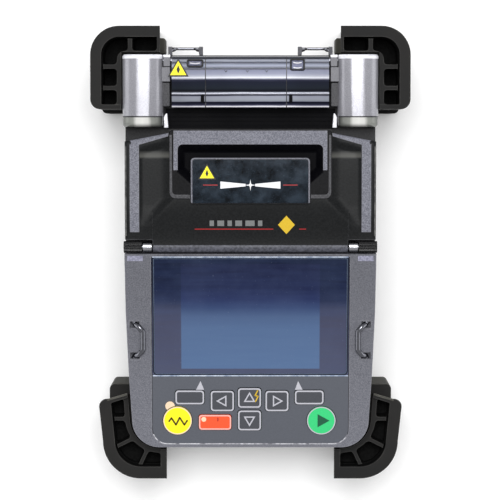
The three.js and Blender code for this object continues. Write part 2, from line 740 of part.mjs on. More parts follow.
function frontBumperShape(inset) {
  const { side, corner, end, cornerR, arm, inward } = FRONT_BUMPER;
  const tip = Math.max(4 - inset, 0.6);
  const armY = arm - (inset ? 2 : 0);
  const shape = new THREE.Shape();
  shape.moveTo(inset ? inward + 3 : inward, -90);
  shape.lineTo(inset ? inward + 3 : inward, end + inset);
  shape.lineTo(corner - cornerR, end + inset);
  shape.absarc(corner - cornerR, end + cornerR, cornerR - inset, -Math.PI / 2, 0);
  shape.lineTo(side - inset - 0.3, armY - tip);
  shape.absarc(side - inset - 0.3 - tip, armY - tip, tip, 0, Math.PI / 2);
  shape.lineTo(40, armY);
  shape.lineTo(40, -90);
  return shape;
}

// A bar in the X-Y plane from a to b, used as a rib
function bar(a, b, width, z0, z1) {
  const along = new THREE.Vector2(b[0] - a[0], b[1] - a[1]);
  const across = new THREE.Vector2(-along.y, along.x).setLength(width / 2);
  return prismZ(
    polygon([
      [a[0] - across.x, a[1] - across.y],
      [b[0] - across.x, b[1] - across.y],
      [b[0] + across.x, b[1] + across.y],
      [a[0] + across.x, a[1] + across.y],
    ]),
    z0,
    z1,
  );
}

function bumper(shapeAt, top, ribs, footCut, step) {
  const clear = 0.5;
  const pocketFloor = top - 24;
  const longer = roundedRect(56, step.x1, step.y0, step.y1, STEP_R);
  let block = prismZ(shapeAt(0), 0, top, 6).add(prismZ(longer, 0, STEP_TOP, 4));
  let pockets = prismZ(shapeAt(BUMPER_WALL), pocketFloor, top + 1, 5);
  pockets = pockets.subtract(prismZ(bodyShape(clear + BUMPER_INNER_WALL), 0, top + 2, 5));
  for (const [a, b] of ribs) {
    pockets = pockets.subtract(bar(a, b, BUMPER_RIB, 0, top + 2));
  }
  block = block.subtract(prismZ(bodyShape(clear), CASING_BOTTOM - GAP, top + 2, 6));
  return block.subtract(pockets).subtract(footCut);
}

const REAR_RIBS = [
  [[60, 84.6], [90, 84.6]],
  [[60, 95.2], [90, 95.2]],
  [[60.4, 95], [60.4, 120]],
];
const FRONT_RIBS = [
  [[58, -86], [90, -86]],
  [[57, -93.1], [72, -100.6]],
  [[51.5, -99.9], [59, -111]],
];

function rearBumper(sign) {
  const footCut = box(30, 52, 66, 103, -1, 8);
  let block = bumper(rearBumperShape, REAR_BUMPER_TOP, REAR_RIBS, footCut, REAR_STEP);
  // room for the heater clamp above the deck
  block = block.subtract(box(30, 65.1, 60, 102.4, DECK_Z - 0.5, 90));
  return sign < 0 ? mirrored(block) : block;
}

function frontBumper(sign) {
  const footCut = box(30, 52, -104, -70, -1, 8);
  const block = bumper(frontBumperShape, FRONT_BUMPER_TOP, FRONT_RIBS, footCut, FRONT_STEP);
  return sign < 0 ? mirrored(block) : block;
}

// ---------------------------------------------------------------- strap rings at the rear
const REAR_RING = {
  x: 32.9,
  y: BODY_REAR + 2.6,
  z: 57,
  halfLength: 6.2,
  reach: 9.5,
  straight: 4.4,
  wireR: 0.95,
  rise: 0,
};

function rearRing(side, sign) {
  const ring = add(`strap_ring_rear_${side}`, strapRing(REAR_RING), "steel");
  // the pins lie along X, and the ring hangs down behind the wall
  ring.rotation.order = "ZYX";
  ring.rotation.z = Math.PI / 2;
  ring.rotation.y = Math.PI / 2;
  ring.position.set(sign * REAR_RING.x, REAR_RING.y, REAR_RING.z);
}

// ---------------------------------------------------------------- side ports, battery and boards
const PORT = { y0: 60, y1: 70, z0: 40, z1: 52 };

function portCover() {
  const { y0, y1, z0, z1 } = PORT;
  const flap = prismX(roundedRect(y0 - 0.6, y1 + 0.6, z0 - 0.6, z1, 1), 61.2, 63.2, 3);
  return flap.add(box(62.4, 64, y0 + 3, y1 - 3, z0 + 0.6, z0 + 2.4));
}

function portBlock() {
  const { y0, y1, z0, z1 } = PORT;
  const block = box(50, 60, y0, y1, z0, z1);
  return block
    .subtract(box(56, 61, y0 + 2, y1 - 2, z0 + 1.6, z0 + 4.6))
    .subtract(rod("x", 54, 61, 2.2, (y0 + y1) / 2, z1 - 3.6, 14));
}

function batteryPack() {
  const { x0, x1, y0, y1, z0, z1 } = BATTERY;
  const pack = box(x0, x1, y0, y1, z0, z1);
  // bevelled face that follows the body's side, and a pocket for the latch
  const face = prismZ(bodyShape(-0.3), 0, 60);
  return pack.intersect(face).subtract(box(-70, -58.6, -34, -22, 20, 30.4));
}

function batteryLatch() {
  return box(-62.4, -59.2, -33.4, -22.6, 23.4, 30);
}

function tripodBush() {
  return rod("z", CASING_BOTTOM + 0.1, 14, 6.6, 0, 20, 18).subtract(rod("z", 0, 11, 2.45, 0, 20, 14));
}

// ---------------------------------------------------------------- assembly
add("lower_casing", geometryOf(lowerCasing()), "casing");
add("upper_casing", geometryOf(upperCasing()), "casing");
buildPanel();

add("wind_cover", geometryOf(windCover()), "cover");
add("cover_plate", geometryOf(coverPlate()), "gloss");
add("cover_lamp", geometryOf(box(-9, 9, FIBER_Y - 2, FIBER_Y + 2, 74.4, 78.1)), "ceramic");
add("cover_seal", geometryOf(coverSeal()), "rubber");

add("splice_chassis", geometryOf(chassis()), "aluminium");
add("electrode_rear", electrode(1), "steel");
add("electrode_front", electrode(-1), "steel");

for (const [name, lean] of [["microscope_front", -1], ["microscope_rear", 1]]) {
  const tube = add(name, microscope(), "lens");
  tube.position.set(0, FIBER_Y, FIBER_Z);
  tube.rotation.x = Math.PI / 2 - lean * MICROSCOPE_LEAN;
}

for (const [side, sign] of [["left", -1], ["right", 1]]) {
  const placed = (solid) => geometryOf(sign < 0 ? solid : mirrored(solid));
  add(`hinge_barrel_${side}`, geometryOf(hingeBarrel(sign)), "black");
  add(`hinge_pin_${side}`, geometryOf(hingePin(sign)), "steel");
  add(`stage_${side}`, placed(stage()), "aluminium");
  add(`v_groove_${side}`, placed(vGroove()), "ceramic");
  add(`fiber_clamp_${side}`, placed(fiberClamp()), "black");
  add(`feed_motor_${side}`, placed(feedMotor()), "steel");
  add(`heater_clamp_${side}`, geometryOf(heaterClamp(sign)), "silver");
  add(`bumper_rear_${side}`, geometryOf(rearBumper(sign)), "rubber");
  add(`bumper_front_${side}`, geometryOf(frontBumper(sign)), "rubber");
  rearRing(side, sign);
}

add("heater_block", geometryOf(heaterBlock()), "aluminium");
add("heater_lid", geometryOf(heaterLid()), "clear");
add("heater_hinge_rod", geometryOf(rod("x", -62.6, 62.6, ROD_R, ROD_Y, ROD_Z, 16)), "steel");

add("port_cover", geometryOf(portCover()), "rubber");
add("port_block", geometryOf(portBlock()), "black");
add("battery_pack", geometryOf(batteryPack()), "casing");
add("battery_latch", geometryOf(batteryLatch()), "keyGrey");
add("main_board", geometryOf(box(-52, 52, -84, -6, 42, 43.6)), "board");
add("arc_unit", geometryOf(box(6, 44, 66, 92, 12, 38)), "black");
add("tripod_bush", geometryOf(tripodBush()), "brass");

export default splicer;
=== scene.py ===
# Looks of the handheld fusion splicer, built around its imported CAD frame.
# Shape numbers are millimetres in the row frame: +X operator's right, +Y away, +Z up.
import math

import bmesh
import bpy
from mathutils import Matrix, Vector


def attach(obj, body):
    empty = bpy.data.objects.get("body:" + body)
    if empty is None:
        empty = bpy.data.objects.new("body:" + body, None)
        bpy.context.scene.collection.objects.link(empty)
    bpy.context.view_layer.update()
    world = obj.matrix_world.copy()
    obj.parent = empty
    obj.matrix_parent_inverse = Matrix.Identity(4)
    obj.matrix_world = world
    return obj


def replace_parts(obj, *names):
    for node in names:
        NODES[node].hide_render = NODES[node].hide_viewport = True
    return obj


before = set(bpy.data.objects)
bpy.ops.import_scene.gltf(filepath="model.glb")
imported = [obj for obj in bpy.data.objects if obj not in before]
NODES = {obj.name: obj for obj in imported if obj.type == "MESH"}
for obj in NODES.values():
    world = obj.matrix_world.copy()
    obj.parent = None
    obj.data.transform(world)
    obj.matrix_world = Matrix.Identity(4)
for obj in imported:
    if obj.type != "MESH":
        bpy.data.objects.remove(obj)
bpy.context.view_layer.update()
SCENE = bpy.context.scene
MM = 0.001

# ---- driving dimensions
BODY_HALF_WIDTH = 63.5
BODY_REAR = 101
BODY_FRONT = -99
REAR_CORNER_R = 7
FRONT_CORNER_R = 14
FRONT_TAPER = 4.3e-4
PANEL_SLOPE = math.radians(7)
PANEL = Matrix.Translation((0, 0.6, 75)) @ Matrix.Rotation(PANEL_SLOPE, 4, "X")
HINGE_Y, HINGE_Z, HINGE_R = 4.3, 72.6, 2.9
ROD_Y, ROD_Z, ROD_R = 98.2, 71, 1.25
FLOOR_Z = 5
COVER_BOTTOM, COVER_REAR, COVER_SIDE = 63.3, 63.1, 63.2
CROWN_HALF, CROWN_NEAR, CROWN_TOP = 40.4, 29, 79.6
PLATE_TOP = 81.5
SIDES = (("left", -1), ("right", 1))


# ---- outlines
def arc(x, y, r, start, end, steps=8):
    """Points of an arc, angles in degrees."""
    turns = [math.radians(start + (end - start) * i / steps) for i in range(steps + 1)]
    return [(x + r * math.cos(a), y + r * math.sin(a)) for a in turns]


def rounded(x0, x1, y0, y1, near_r, far_r=None, steps=8):
    """A rectangle with rounded corners, counter-clockwise."""
    far_r = near_r if far_r is None else far_r
    return (
        arc(x1 - near_r, y0 + near_r, near_r, -90, 0, steps)
        + arc(x1 - far_r, y1 - far_r, far_r, 0, 90, steps)
        + arc(x0 + far_r, y1 - far_r, far_r, 90, 180, steps)
        + arc(x0 + near_r, y0 + near_r, near_r, 180, 270, steps)
    )


def circle(x, y, r, steps=48):
    return arc(x, y, r, 0, 360, steps)[:-1]


def flipped(points, sign):
    """The same outline on the other side for sign -1."""
    return points if sign > 0 else [(-x, y) for x, y in reversed(points)]


def half_width(y):
    return BODY_HALF_WIDTH - (FRONT_TAPER * y * y if y < 0 else 0)


def body_outline(grow):
    """The casing from above, grown by grow."""
    corner_y = BODY_FRONT + FRONT_CORNER_R
    corner_x = half_width(corner_y) - FRONT_CORNER_R
    rear_x = BODY_HALF_WIDTH - REAR_CORNER_R
    rear_y = BODY_REAR - REAR_CORNER_R
    side = [(half_width(y) + grow, y) for y in range(-80, 1, 10)]
    near = arc(corner_x, corner_y, FRONT_CORNER_R + grow, -90, 0, 12)
    far = arc(rear_x, rear_y, REAR_CORNER_R + grow, 0, 90, 10)
    right = near + side + far
    return right + [(-x, y) for x, y in reversed(right)]


def clamp(value):
    return max(0.0, min(1.0, value))


def smooth(value):
    t = clamp(value)
    return t * t * (3 - 2 * t)


def curve_through(points, steps):
    """A smooth path through 3-D points, with steps points between each pair."""
    points = [Vector(p) for p in points]
    ends = [2 * points[0] - points[1]] + points + [2 * points[-1] - points[-2]]
    path = []
    for p0, p1, p2, p3 in zip(ends, ends[1:], ends[2:], ends[3:]):
        for t in [i / steps for i in range(steps)]:
            bend = (2 * p0 - 5 * p1 + 4 * p2 - p3) * t * t
            twist = (3 * p1 - p0 - 3 * p2 + p3) * t * t * t
            path.append(0.5 * (2 * p1 + (p2 - p0) * t + bend + twist))
    return path + [points[-1]]


# ---- meshes
AXES = {
    "z": lambda a, b, c: (a, b, c),
    "x": lambda a, b, c: (c, a, b),
    "y": lambda a, b, c: (a, c, b),
}


def skin(rings, caps=True):
    """A mesh over closed rings of points, one ring after another."""
    bm = bmesh.new()
    rows = [[bm.verts.new(p) for p in ring] for ring in rings]
    count = len(rows[0])
    for low, high in zip(rows, rows[1:]):
        for i in range(count):
            j = (i + 1) % count
            bm.faces.new((low[i], low[j], high[j], high[i]))
    if caps:
        bm.faces.new(list(reversed(rows[0])))
        bm.faces.new(rows[-1])
    bmesh.ops.recalc_face_normals(bm, faces=bm.faces)
    return bm


def prism(points, low, high, axis="z"):
    place = AXES[axis]
    return skin([[place(a, b, c) for a, b in points] for c in (low, high)])


def box(x0, x1, y0, y1, z0, z1):
    return prism([(x0, y0), (x1, y0), (x1, y1), (x0, y1)], z0, z1)


def band(outer, inner, low, high):
    """A flat frame between two outlines with the same number of points."""
    corners = ((outer, low), (outer, high), (inner, high), (inner, low))
    rings = [[(x, y, z) for x, y in line] for line, z in corners]
    return skin(rings + rings[:1], caps=False)


def full_turn(steps):
    return [2 * math.pi * i / steps for i in range(steps)]


def turned(profile, axis, centre, steps=32):
    """A shape of revolution: profile is (radius, place along the axis)."""
    place = AXES[axis]
    cx, cy = centre
    return skin([
        [place(cx + r * math.cos(a), cy + r * math.sin(a), along) for a in full_turn(steps)]
        for r, along in profile
    ])


def tube(path, r, steps=12):
    """A round bar along a path, with domed ends."""
    rings = []
    side = Vector((0.31, 0.52, 0.79))
    last = len(path) - 1
    for i, point in enumerate(path):
        along = (path[min(i + 1, last)] - path[max(i - 1, 0)]).normalized()
        side = (side - along * side.dot(along)).normalized()
        up = along.cross(side)
        size = r * (0.55 if i in (0, last) else 1)
        rings.append([point + size * (side * math.cos(a) + up * math.sin(a)) for a in full_turn(steps)])
    return skin(rings)


def join(*parts):
    """Several meshes in one, side by side."""
    whole = bmesh.new()
    for part in parts:
        scratch = bpy.data.meshes.new("scratch")
        part.to_mesh(scratch)
        part.free()
        whole.from_mesh(scratch)
        bpy.data.meshes.remove(scratch)
    return whole


def scratch_object(bm):
    mesh = bpy.data.meshes.new("scratch")
    bm.to_mesh(mesh)
    bm.free()
    obj = bpy.data.objects.new("scratch", mesh)
    SCENE.collection.objects.link(obj)
    return obj


def combine(base, tool, operation="DIFFERENCE"):
    """An exact boolean of two meshes, which are used up."""
    target, other = scratch_object(base), scratch_object(tool)
    modifier = target.modifiers.new("cut", "BOOLEAN")
    modifier.operation = operation
    modifier.solver = "EXACT"
    modifier.object = other
    depsgraph = bpy.context.evaluated_depsgraph_get()
    result = bpy.data.meshes.new_from_object(target.evaluated_get(depsgraph))
    bm = bmesh.new()
    bm.from_mesh(result)
    bpy.data.meshes.remove(result)
    for obj in (target, other):
        mesh = obj.data
        bpy.data.objects.remove(obj)
        bpy.data.meshes.remove(mesh)
    return bm


def cut(base, *tools):
    for tool in tools:
        base = combine(base, tool)
    return base


def soften(obj, width, steps):
    """Rounds an object's sharp edges and evens out its shading."""
    bevel = obj.modifiers.new("bevel", "BEVEL")
    bevel.width = width * MM
    bevel.segments = steps
    bevel.limit_method = "ANGLE"
    bevel.angle_limit = math.radians(30)
    normals = obj.modifiers.new("normals", "WEIGHTED_NORMAL")
    normals.keep_sharp = True


def piece(name, bm, finish, body, slot, bevel=0.0, steps=2, place=None, angle=35):
    """Turns a mesh into an object that rides on a body; edges sharper than angle stay sharp."""
    if place is not None:
        bmesh.ops.transform(bm, matrix=place, verts=bm.verts)
    bmesh.ops.scale(bm, vec=(MM, MM, MM), verts=bm.verts)
    for face in bm.faces:
        face.smooth = True
    for edge in bm.edges:
        sharp = len(edge.link_faces) == 2 and edge.calc_face_angle(0) > math.radians(angle)
        edge.smooth = bool(bevel) or not sharp
    mesh = bpy.data.meshes.new(name)
    bm.to_mesh(mesh)
    bm.free()
    obj = bpy.data.objects.new(name, mesh)
    SCENE.collection.objects.link(obj)
    for material in finish if isinstance(finish, list) else [finish]:
        mesh.materials.append(material)
    if bevel:
        soften(obj, bevel, steps)
    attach(obj, body)
    return obj


def mirrored(bm):
    """The same mesh for the other side."""
    bmesh.ops.scale(bm, vec=(-1, 1, 1), verts=bm.verts)
    bmesh.ops.reverse_faces(bm, faces=bm.faces)
    return bm


def paint(bm, test, index):
    """Gives the faces that pass the test, on centre and normal, another of the piece's finishes."""
    for face in bm.faces:
        if test(face.calc_center_median(), face.normal):
            face.material_index = index
    return bm


def refine(node, material, bevel=0.0, steps=2):
    """Gives a CAD node its finish, rounded edges and even shading."""
    obj = NODES[node]
    mesh = obj.data
    mesh.materials.clear()
    mesh.materials.append(material)
    stored = mesh.attributes.get("custom_normal")
    if stored is not None:
        mesh.attributes.remove(stored)
    mesh.polygons.foreach_set("use_smooth", [True] * len(mesh.polygons))
    weld = obj.modifiers.new("weld", "WELD")
    weld.merge_threshold = 0.01 * MM
    flat = obj.modifiers.new("flat", "DECIMATE")
    flat.decimate_type = "DISSOLVE"
    flat.angle_limit = math.radians(0.6)
    if bevel:
        soften(obj, bevel, steps)
    else:
        obj.modifiers.new("normals", "WEIGHTED_NORMAL")


# ---- finishes
def rgb(red, green, blue):
    """A display colour, 0 to 255, as linear light."""
    channels = []
    for value in (red, green, blue):
        v = value / 255
        channels.append(v / 12.92 if v <= 0.04045 else ((v + 0.055) / 1.055) ** 2.4)
    return tuple(channels)


class Finish:
    """A procedural material, with its patterns in object space and metres."""

    def __init__(self, name, color, roughness, metallic=0.0, specular=0.5):
        self.material = bpy.data.materials.new(name)
        self.material.use_nodes = True
        self.tree = self.material.node_tree
        self.shader = self.tree.nodes["Principled BSDF"]
        self.fill(self.shader, Base_Color=color, Roughness=roughness, Metallic=metallic,
                  Specular_IOR_Level=specular)
        self.place = self.node("TexCoord").outputs["Object"]

    def feed(self, socket, value):
        """Links an output, or sets a constant, to which a colour gets its fourth number."""
        if isinstance(value, bpy.types.NodeSocket):
            self.tree.links.new(value, socket)
        elif isinstance(value, tuple) and len(value) < len(socket.default_value):
            socket.default_value = (*value, 1)
        else:
            socket.default_value = value

    def fill(self, node, **inputs):
        """Feeds a node's inputs by name, with _ for each space."""
        for name, value in inputs.items():
            self.feed(node.inputs[name.replace("_", " ")], value)
        return node

    def node(self, kind, **inputs):
        return self.fill(self.tree.nodes.new("ShaderNode" + kind), **inputs)

    def stretched(self, *scale):
        return self.node("Mapping", Vector=self.place, Scale=scale).outputs["Vector"]

    def noise(self, scale, detail=2.0, rough=0.5, where=None):
        node = self.node("TexNoise", Vector=where or self.place, Scale=scale, Detail=detail, Roughness=rough)
        return node.outputs["Fac"]

    def cells(self, scale, where=None):
        return self.node("TexVoronoi", Vector=where or self.place, Scale=scale).outputs["Distance"]

    def span(self, value, low, high, to_low=0.0, to_high=1.0):
        """Carries low to high over to to_low to to_high, and stops at both ends."""
        node = self.node("MapRange", Value=value, From_Min=low, From_Max=high, To_Min=to_low, To_Max=to_high)
        return node.outputs["Result"]

    def sum(self, operation, a, b=0.0):
        node = self.node("Math")
        node.operation = operation
        self.feed(node.inputs[0], a)
        self.feed(node.inputs[1], b)
        return node.outputs[0]

    def mix(self, factor, a, b, blend="MIX"):
        node = self.node("Mix")
        node.data_type = "RGBA"
        node.blend_type = blend
        for socket, value in ((0, factor), (6, a), (7, b)):
            self.feed(node.inputs[socket], value)
        return node.outputs[2]

    def ramp(self, value, stops):
        """stops are (place, colour) in rising order."""
        node = self.node("ValToRGB", Fac=value)
        elements = node.color_ramp.elements
        while len(elements) < len(stops):
            elements.new(0.5)
        for element, (place, color) in zip(elements, stops):
            element.position = place
            element.color = (*color, 1)
        return node.outputs["Color"]

    def shaded(self, base, value, low, high=1):
        """The base colour times a grey that goes from low to high with value."""
        return self.mix(1.0, base, self.ramp(value, [(0.0, (low,) * 3), (1.0, (high,) * 3)]), "MULTIPLY")

    def axes(self):
        node = self.node("SeparateXYZ")
        self.feed(node.inputs[0], self.place)
        return node.outputs

    def edges(self, radius):
        """1 along outer and inner edges, 0 on flats."""
        bevel = self.node("Bevel", Radius=radius)
        bevel.samples = 4
        flat = self.node("NewGeometry")
        dot = self.node("VectorMath")
        dot.operation = "DOT_PRODUCT"
        self.feed(dot.inputs[0], bevel.outputs[0])
        self.feed(dot.inputs[1], flat.outputs["Normal"])
        return self.span(dot.outputs["Value"], 0.995, 0.9)

    def worn_and_lit_edges(self, base, edge, radius, scale, high, least, most):
        """The base colour with its edges turned to the edge colour, in patches: partly rubbed wear, partly
        painted highlight.
        """
        edges = self.edges(radius)
        patches = self.span(self.noise(scale), 0.35, high, least, most)
        return self.mix(self.sum("MULTIPLY", edges, patches), base, edge)

    def done(self, color, height, strength, depth, roughness=None):
        """Links colour, small bumps of the given depth and uneven roughness, and gives the material."""
        self.fill(self.shader, Base_Color=color)
        if roughness is not None:
            self.fill(self.shader, Roughness=roughness)
        bumps = self.node("Bump", Strength=strength, Distance=depth, Height=height)
        self.fill(self.shader, Normal=bumps.outputs["Normal"])
        return self.material


def moulded(name, dark, light, roughness, grain=1100, edge=None, specular=0.35, bump=0.3, blotch=0.1,
            fade=None):
    """Textured moulded plastic: speckle, slow shade changes and bright edges, partly wear and partly painted
    highlight.

    fade is (rear, front, gain), a painted shade: from rear to front the colour is multiplied by up to gain.
    """
    f = Finish(name, dark, roughness, specular=specular)
    fine = f.noise(grain, 3.0, 0.6)
    slow = f.noise(28, 3.0)
    speckle = f.ramp(fine, [(0.38, dark), (0.62, light)])
    base = f.shaded(speckle, f.span(slow, 0.3, 0.7, 1 - blotch, 1 + blotch), 0.8)
    # fade: painted shade, the colour multiplied down along Y
    if fade is not None:
        rear, front, gain = fade
        base = f.shaded(base, f.span(f.axes()[1], front * MM, rear * MM), 1, gain)
    if edge is not None:
        base = f.worn_and_lit_edges(base, edge, 0.0006, 260, 0.6, 0.35, 1.0)
    return f.done(base, fine, bump, 0.00012, f.span(slow, 0.3, 0.7, roughness - 0.07, roughness + 0.07))


def rubber(name, dark, dusty, edge):
    """Matt rubber with dust in patches and paler edges, partly rubbed wear and partly painted highlight."""
    f = Finish(name, dark, 0.72, specular=0.2)
    fine = f.noise(900, 4.0, 0.7)
    dust = f.noise(22, 5.0, 0.65)
    base = f.mix(f.span(dust, 0.35, 0.75, 0.0, 1.0), dark, dusty)
    base = f.worn_and_lit_edges(base, edge, 0.0008, 180, 0.65, 0.2, 0.9)
    return f.done(base, fine, 0.35, 0.00015, f.span(dust, 0.3, 0.7, 0.62, 0.82))


def speckled(name, color, roughness, specular, pattern, stops, bump, depth):
    """A plain finish whose colour follows one fine pattern; pattern is noise (scale, detail)."""
    f = Finish(name, color, roughness, specular=specular)
    grain = f.noise(*pattern)
    return f.done(f.ramp(grain, stops), grain, bump, depth)


def silver_paint(name, bright, middle, slow_shade, roughness):
    """Metallic paint: fine flakes, slow shade changes and a soft sheen."""
    f = Finish(name, middle, roughness, metallic=0.28)
    flakes = f.cells(2600)
    slow = f.noise(34, 3.0)
    base = f.ramp(flakes, [(0.1, bright), (0.6, middle)])
    base = f.mix(f.span(slow, 0.35, 0.75, 0.0, 0.35), base, slow_shade)
    return f.done(base, flakes, 0.12, 0.00005, f.span(slow, 0.3, 0.7, roughness, roughness + 0.08))


def banded(bands):
    """Ramp stops from display colours at rising places, and the first and last place."""
    low, high = bands[0][0], bands[-1][0]
    return [((at - low) / (high - low), rgb(*color)) for at, color in bands], low * MM, high * MM


def painted_shoulder_highlight():
    """Painted highlight across the shoulders: a band light in the middle, fading into the cover's own
    colour.
    """
    stops, low, high = banded([
        (48.8, (25, 26, 27)), (50.0, (76, 76, 73)), (51.2, (66, 66, 64)), (52.8, (25, 26, 27)),
    ])
    f = Finish("painted_shoulder_highlight", rgb(60, 60, 58), 0.4, specular=0.12)
    waver = f.span(f.noise(40, 3.0), 0.3, 0.7, -0.0002, 0.0002)
    place = f.span(f.sum("ADD", f.axes()[1], waver), low, high)
    return f.done(f.ramp(place, stops), f.noise(1100, 3.0), 0.3, 0.00012)


def nose_paint_and_highlight():
    """The clamps' sloping noses: silver paint with a painted highlight along the crown of the arch and
    painted shade towards its sides.
    """
    crown_x, reach = 0.0541, 0.0102
    stops, _, _ = banded([
        (0.0, (226, 226, 222)), (0.28, (214, 214, 210)), (0.45, (140, 142, 137)), (0.8, (118, 120, 116)),
        (1.0, (70, 71, 70)),
    ])
    f = Finish("silver_nose_and_highlight", rgb(124, 126, 122), 0.2, metallic=0.2, specular=0.4)
    flakes = f.cells(2600)
    off_crown = f.sum("ABSOLUTE", f.sum("SUBTRACT", f.sum("ABSOLUTE", f.axes()[0]), crown_x))
    waver = f.span(f.noise(90, 3.0), 0.3, 0.7, -0.0005, 0.0005)
    place = f.span(f.sum("ADD", off_crown, waver), 0.0, reach)
    return f.done(f.ramp(place, stops), flakes, 0.12, 0.00005)


def metal(name, color, roughness, brush=(1, 40, 40), contrast=0.12):
    """Machined metal with fine marks drawn out along one direction."""
    f = Finish(name, color, roughness, metallic=1.0)
    marks = f.noise(120, 3.0, 0.6, f.stretched(*brush))
    dull = tuple(c * (1 - contrast) for c in color)
    base = f.ramp(marks, [(0.35, dull), (0.65, color)])
    return f.done(base, marks, 0.08, 0.00005, f.span(marks, 0.3, 0.7, roughness - 0.05, roughness + 0.08))


def gloss(name, dark, light, roughness, scale, specular=0.5):
    """Polished plastic with faint cloudy lighter marks: handling marks, and on the name plate a painted
    mottled reflection.
    """
    f = Finish(name, dark, roughness, specular=specular)
    cloud = f.noise(scale, 6.0, 0.65)
    specks = f.span(f.noise(1500, 2.0), 0.62, 0.75, 0.0, 0.35)
    base = f.ramp(cloud, [(0.35, dark), (0.7, light)])
    base = f.mix(specks, base, tuple(min(1, c * 2.2 + 0.01) for c in light))
    return f.done(base, cloud, 0.02, 0.0003, f.span(cloud, 0.3, 0.8, roughness, roughness + 0.12))


def film(name, color, print_grain=0.06, roughness=0.48):
    """Printed keypad film: fine texture and a slight unevenness of ink."""
    f = Finish(name, color, roughness, specular=0.3)
    fine = f.noise(1500, 2.0)
    slow = f.noise(70, 3.0)
    low = tuple(c * (1 - print_grain) for c in color)
    high = tuple(min(1, c * (1 + print_grain)) for c in color)
    uneven = f.span(slow, 0.3, 0.7, 0.0, 0.5)
    base = f.mix(uneven, f.ramp(fine, [(0.35, low), (0.65, high)]), low)
    return f.done(base, fine, 0.15, 0.00006, f.span(slow, 0.3, 0.7, roughness - 0.05, roughness + 0.05))


def smoked_lid_painted_light():
    """Clear lid over the heater: long bands of painted highlights and reflections, and of the parts below
    that shine through, broken by slow noise.
    """
    stops, low, high = banded([
        (73.8, (20, 20, 26)), (74.2, (120, 119, 128)), (74.6, (220, 219, 228)), (75.0, (238, 237, 244)),
        (75.3, (90, 90, 112)), (75.9, (20, 22, 42)), (76.9, (4, 6, 26)), (77.2, (36, 38, 58)),
        (77.5, (126, 130, 140)), (78.4, (144, 148, 158)), (80.0, (142, 144, 158)), (80.4, (24, 26, 44)),
        (80.9, (24, 26, 44)), (81.3, (150, 152, 168)), (81.7, (214, 216, 230)), (82.1, (90, 94, 110)),
        (82.7, (4, 6, 18)), (84.2, (28, 34, 44)), (87.4, (24, 28, 44)), (88.3, (56, 58, 78)),
        (88.8, (150, 152, 166)), (89.4, (204, 206, 216)), (90.1, (150, 153, 168)), (91.2, (110, 116, 140)),
        (93.0, (92, 96, 126)), (93.8, (40, 43, 60)), (94.6, (90, 96, 114)), (95.5, (122, 129, 152)),
        (96.3, (86, 93, 114)), (96.9, (42, 48, 68)), (98.0, (116, 122, 140)), (98.7, (40, 43, 52)),
    ])
    f = Finish("smoked_lid_painted_light", rgb(90, 94, 120), 0.12, specular=0.2)
    streaks = f.noise(70, 4.0, 0.6, f.stretched(0.3, 1, 1))
    shifted = f.sum("ADD", f.axes()[1], f.span(streaks, 0.3, 0.7, -0.00025, 0.00025))
    base = f.ramp(f.span(shifted, low, high), stops)
    patches = f.span(f.noise(26, 3.0, 0.5, f.stretched(1, 0.3, 0.3)), 0.3, 0.7, 0.62, 1.15)
    return f.done(f.shaded(base, patches, 0), streaks, 0.05, 0.0002, f.span(streaks, 0.3, 0.8, 0.08, 0.2))


def display_glass_and_reflection():
    """Window over the display: the picture area is a lighter rectangle; it and the border are brighter in
    their lower part, a painted reflection.
    """
    edge, half, far, near = 0.0004, 0.0353, -0.0040, -0.0582
    border_stops, _, _ = banded([
        (0.0, (9, 19, 42)), (0.27, (14, 23, 50)), (0.36, (28, 36, 62)), (0.44, (56, 61, 84)),
        (0.55, (62, 64, 84)), (1.0, (70, 74, 95)),
    ])
    picture_stops, _, _ = banded([
        (0.0, (17, 22, 48)), (0.25, (22, 30, 62)), (0.35, (32, 42, 78)), (0.42, (46, 61, 96)),
        (0.5, (68, 87, 120)), (0.6, (75, 97, 131)), (1.0, (81, 105, 140)),
    ])
    f = Finish("display_glass_and_reflection", rgb(20, 26, 55), 0.06, specular=0.2)
    x, y = f.axes()[0], f.axes()[1]
    # border and picture run from dark at the far edge to lighter at the near edge: painted reflection
    down = f.span(y, -0.0014, -0.0612)
    border, picture = f.ramp(down, border_stops), f.ramp(down, picture_stops)
    across = f.span(f.sum("ABSOLUTE", x), half, half - edge)
    over = f.span(y, far, far - edge)
    under = f.span(y, near, near + edge)
    within = f.sum("MULTIPLY", across, f.sum("MULTIPLY", over, under))
    lines = f.span(f.noise(500, 2.0, 0.5, f.stretched(0.08, 1, 1)), 0.3, 0.7, 0.0, 0.1)
    cloud = f.span(f.noise(55, 5.0, 0.6), 0.35, 0.75, 0.0, 0.1)
    dust = f.span(f.noise(1300, 1.0), 0.72, 0.82, 0.0, 0.16)
    base = f.mix(cloud, f.mix(within, border, picture), rgb(96, 110, 142))
    base = f.mix(lines, base, rgb(60, 76, 120))
    base = f.mix(dust, base, rgb(140, 150, 176))
    f.fill(f.shader, Base_Color=base, Roughness=f.span(f.noise(40, 4.0), 0.3, 0.8, 0.04, 0.12))
    return f.material


def board():
    """Printed circuit board: green, with a net of copper tracks."""
    f = Finish("board", rgb(24, 84, 48), 0.4)
    tracks = f.cells(420, f.stretched(1, 1.6, 1))
    stops = [(0.08, rgb(150, 130, 60)), (0.16, rgb(20, 76, 44)), (0.8, rgb(28, 96, 54))]
    return f.done(f.ramp(tracks, stops), tracks, 0.2, 0.0001)


def floor_paper():
    """White paper that gives a little light of its own."""
    f = Finish("floor_paper", (0.9, 0.9, 0.9), 0.7, specular=0.1)
    fibre = f.noise(240, 4.0)
    f.fill(f.shader, Emission_Color=(1, 1, 1), Emission_Strength=0.12)
    return f.done(f.ramp(fibre, [(0.3, (0.89,) * 3), (0.7, (0.92,) * 3)]), fibre, 0.05, 0.0001)
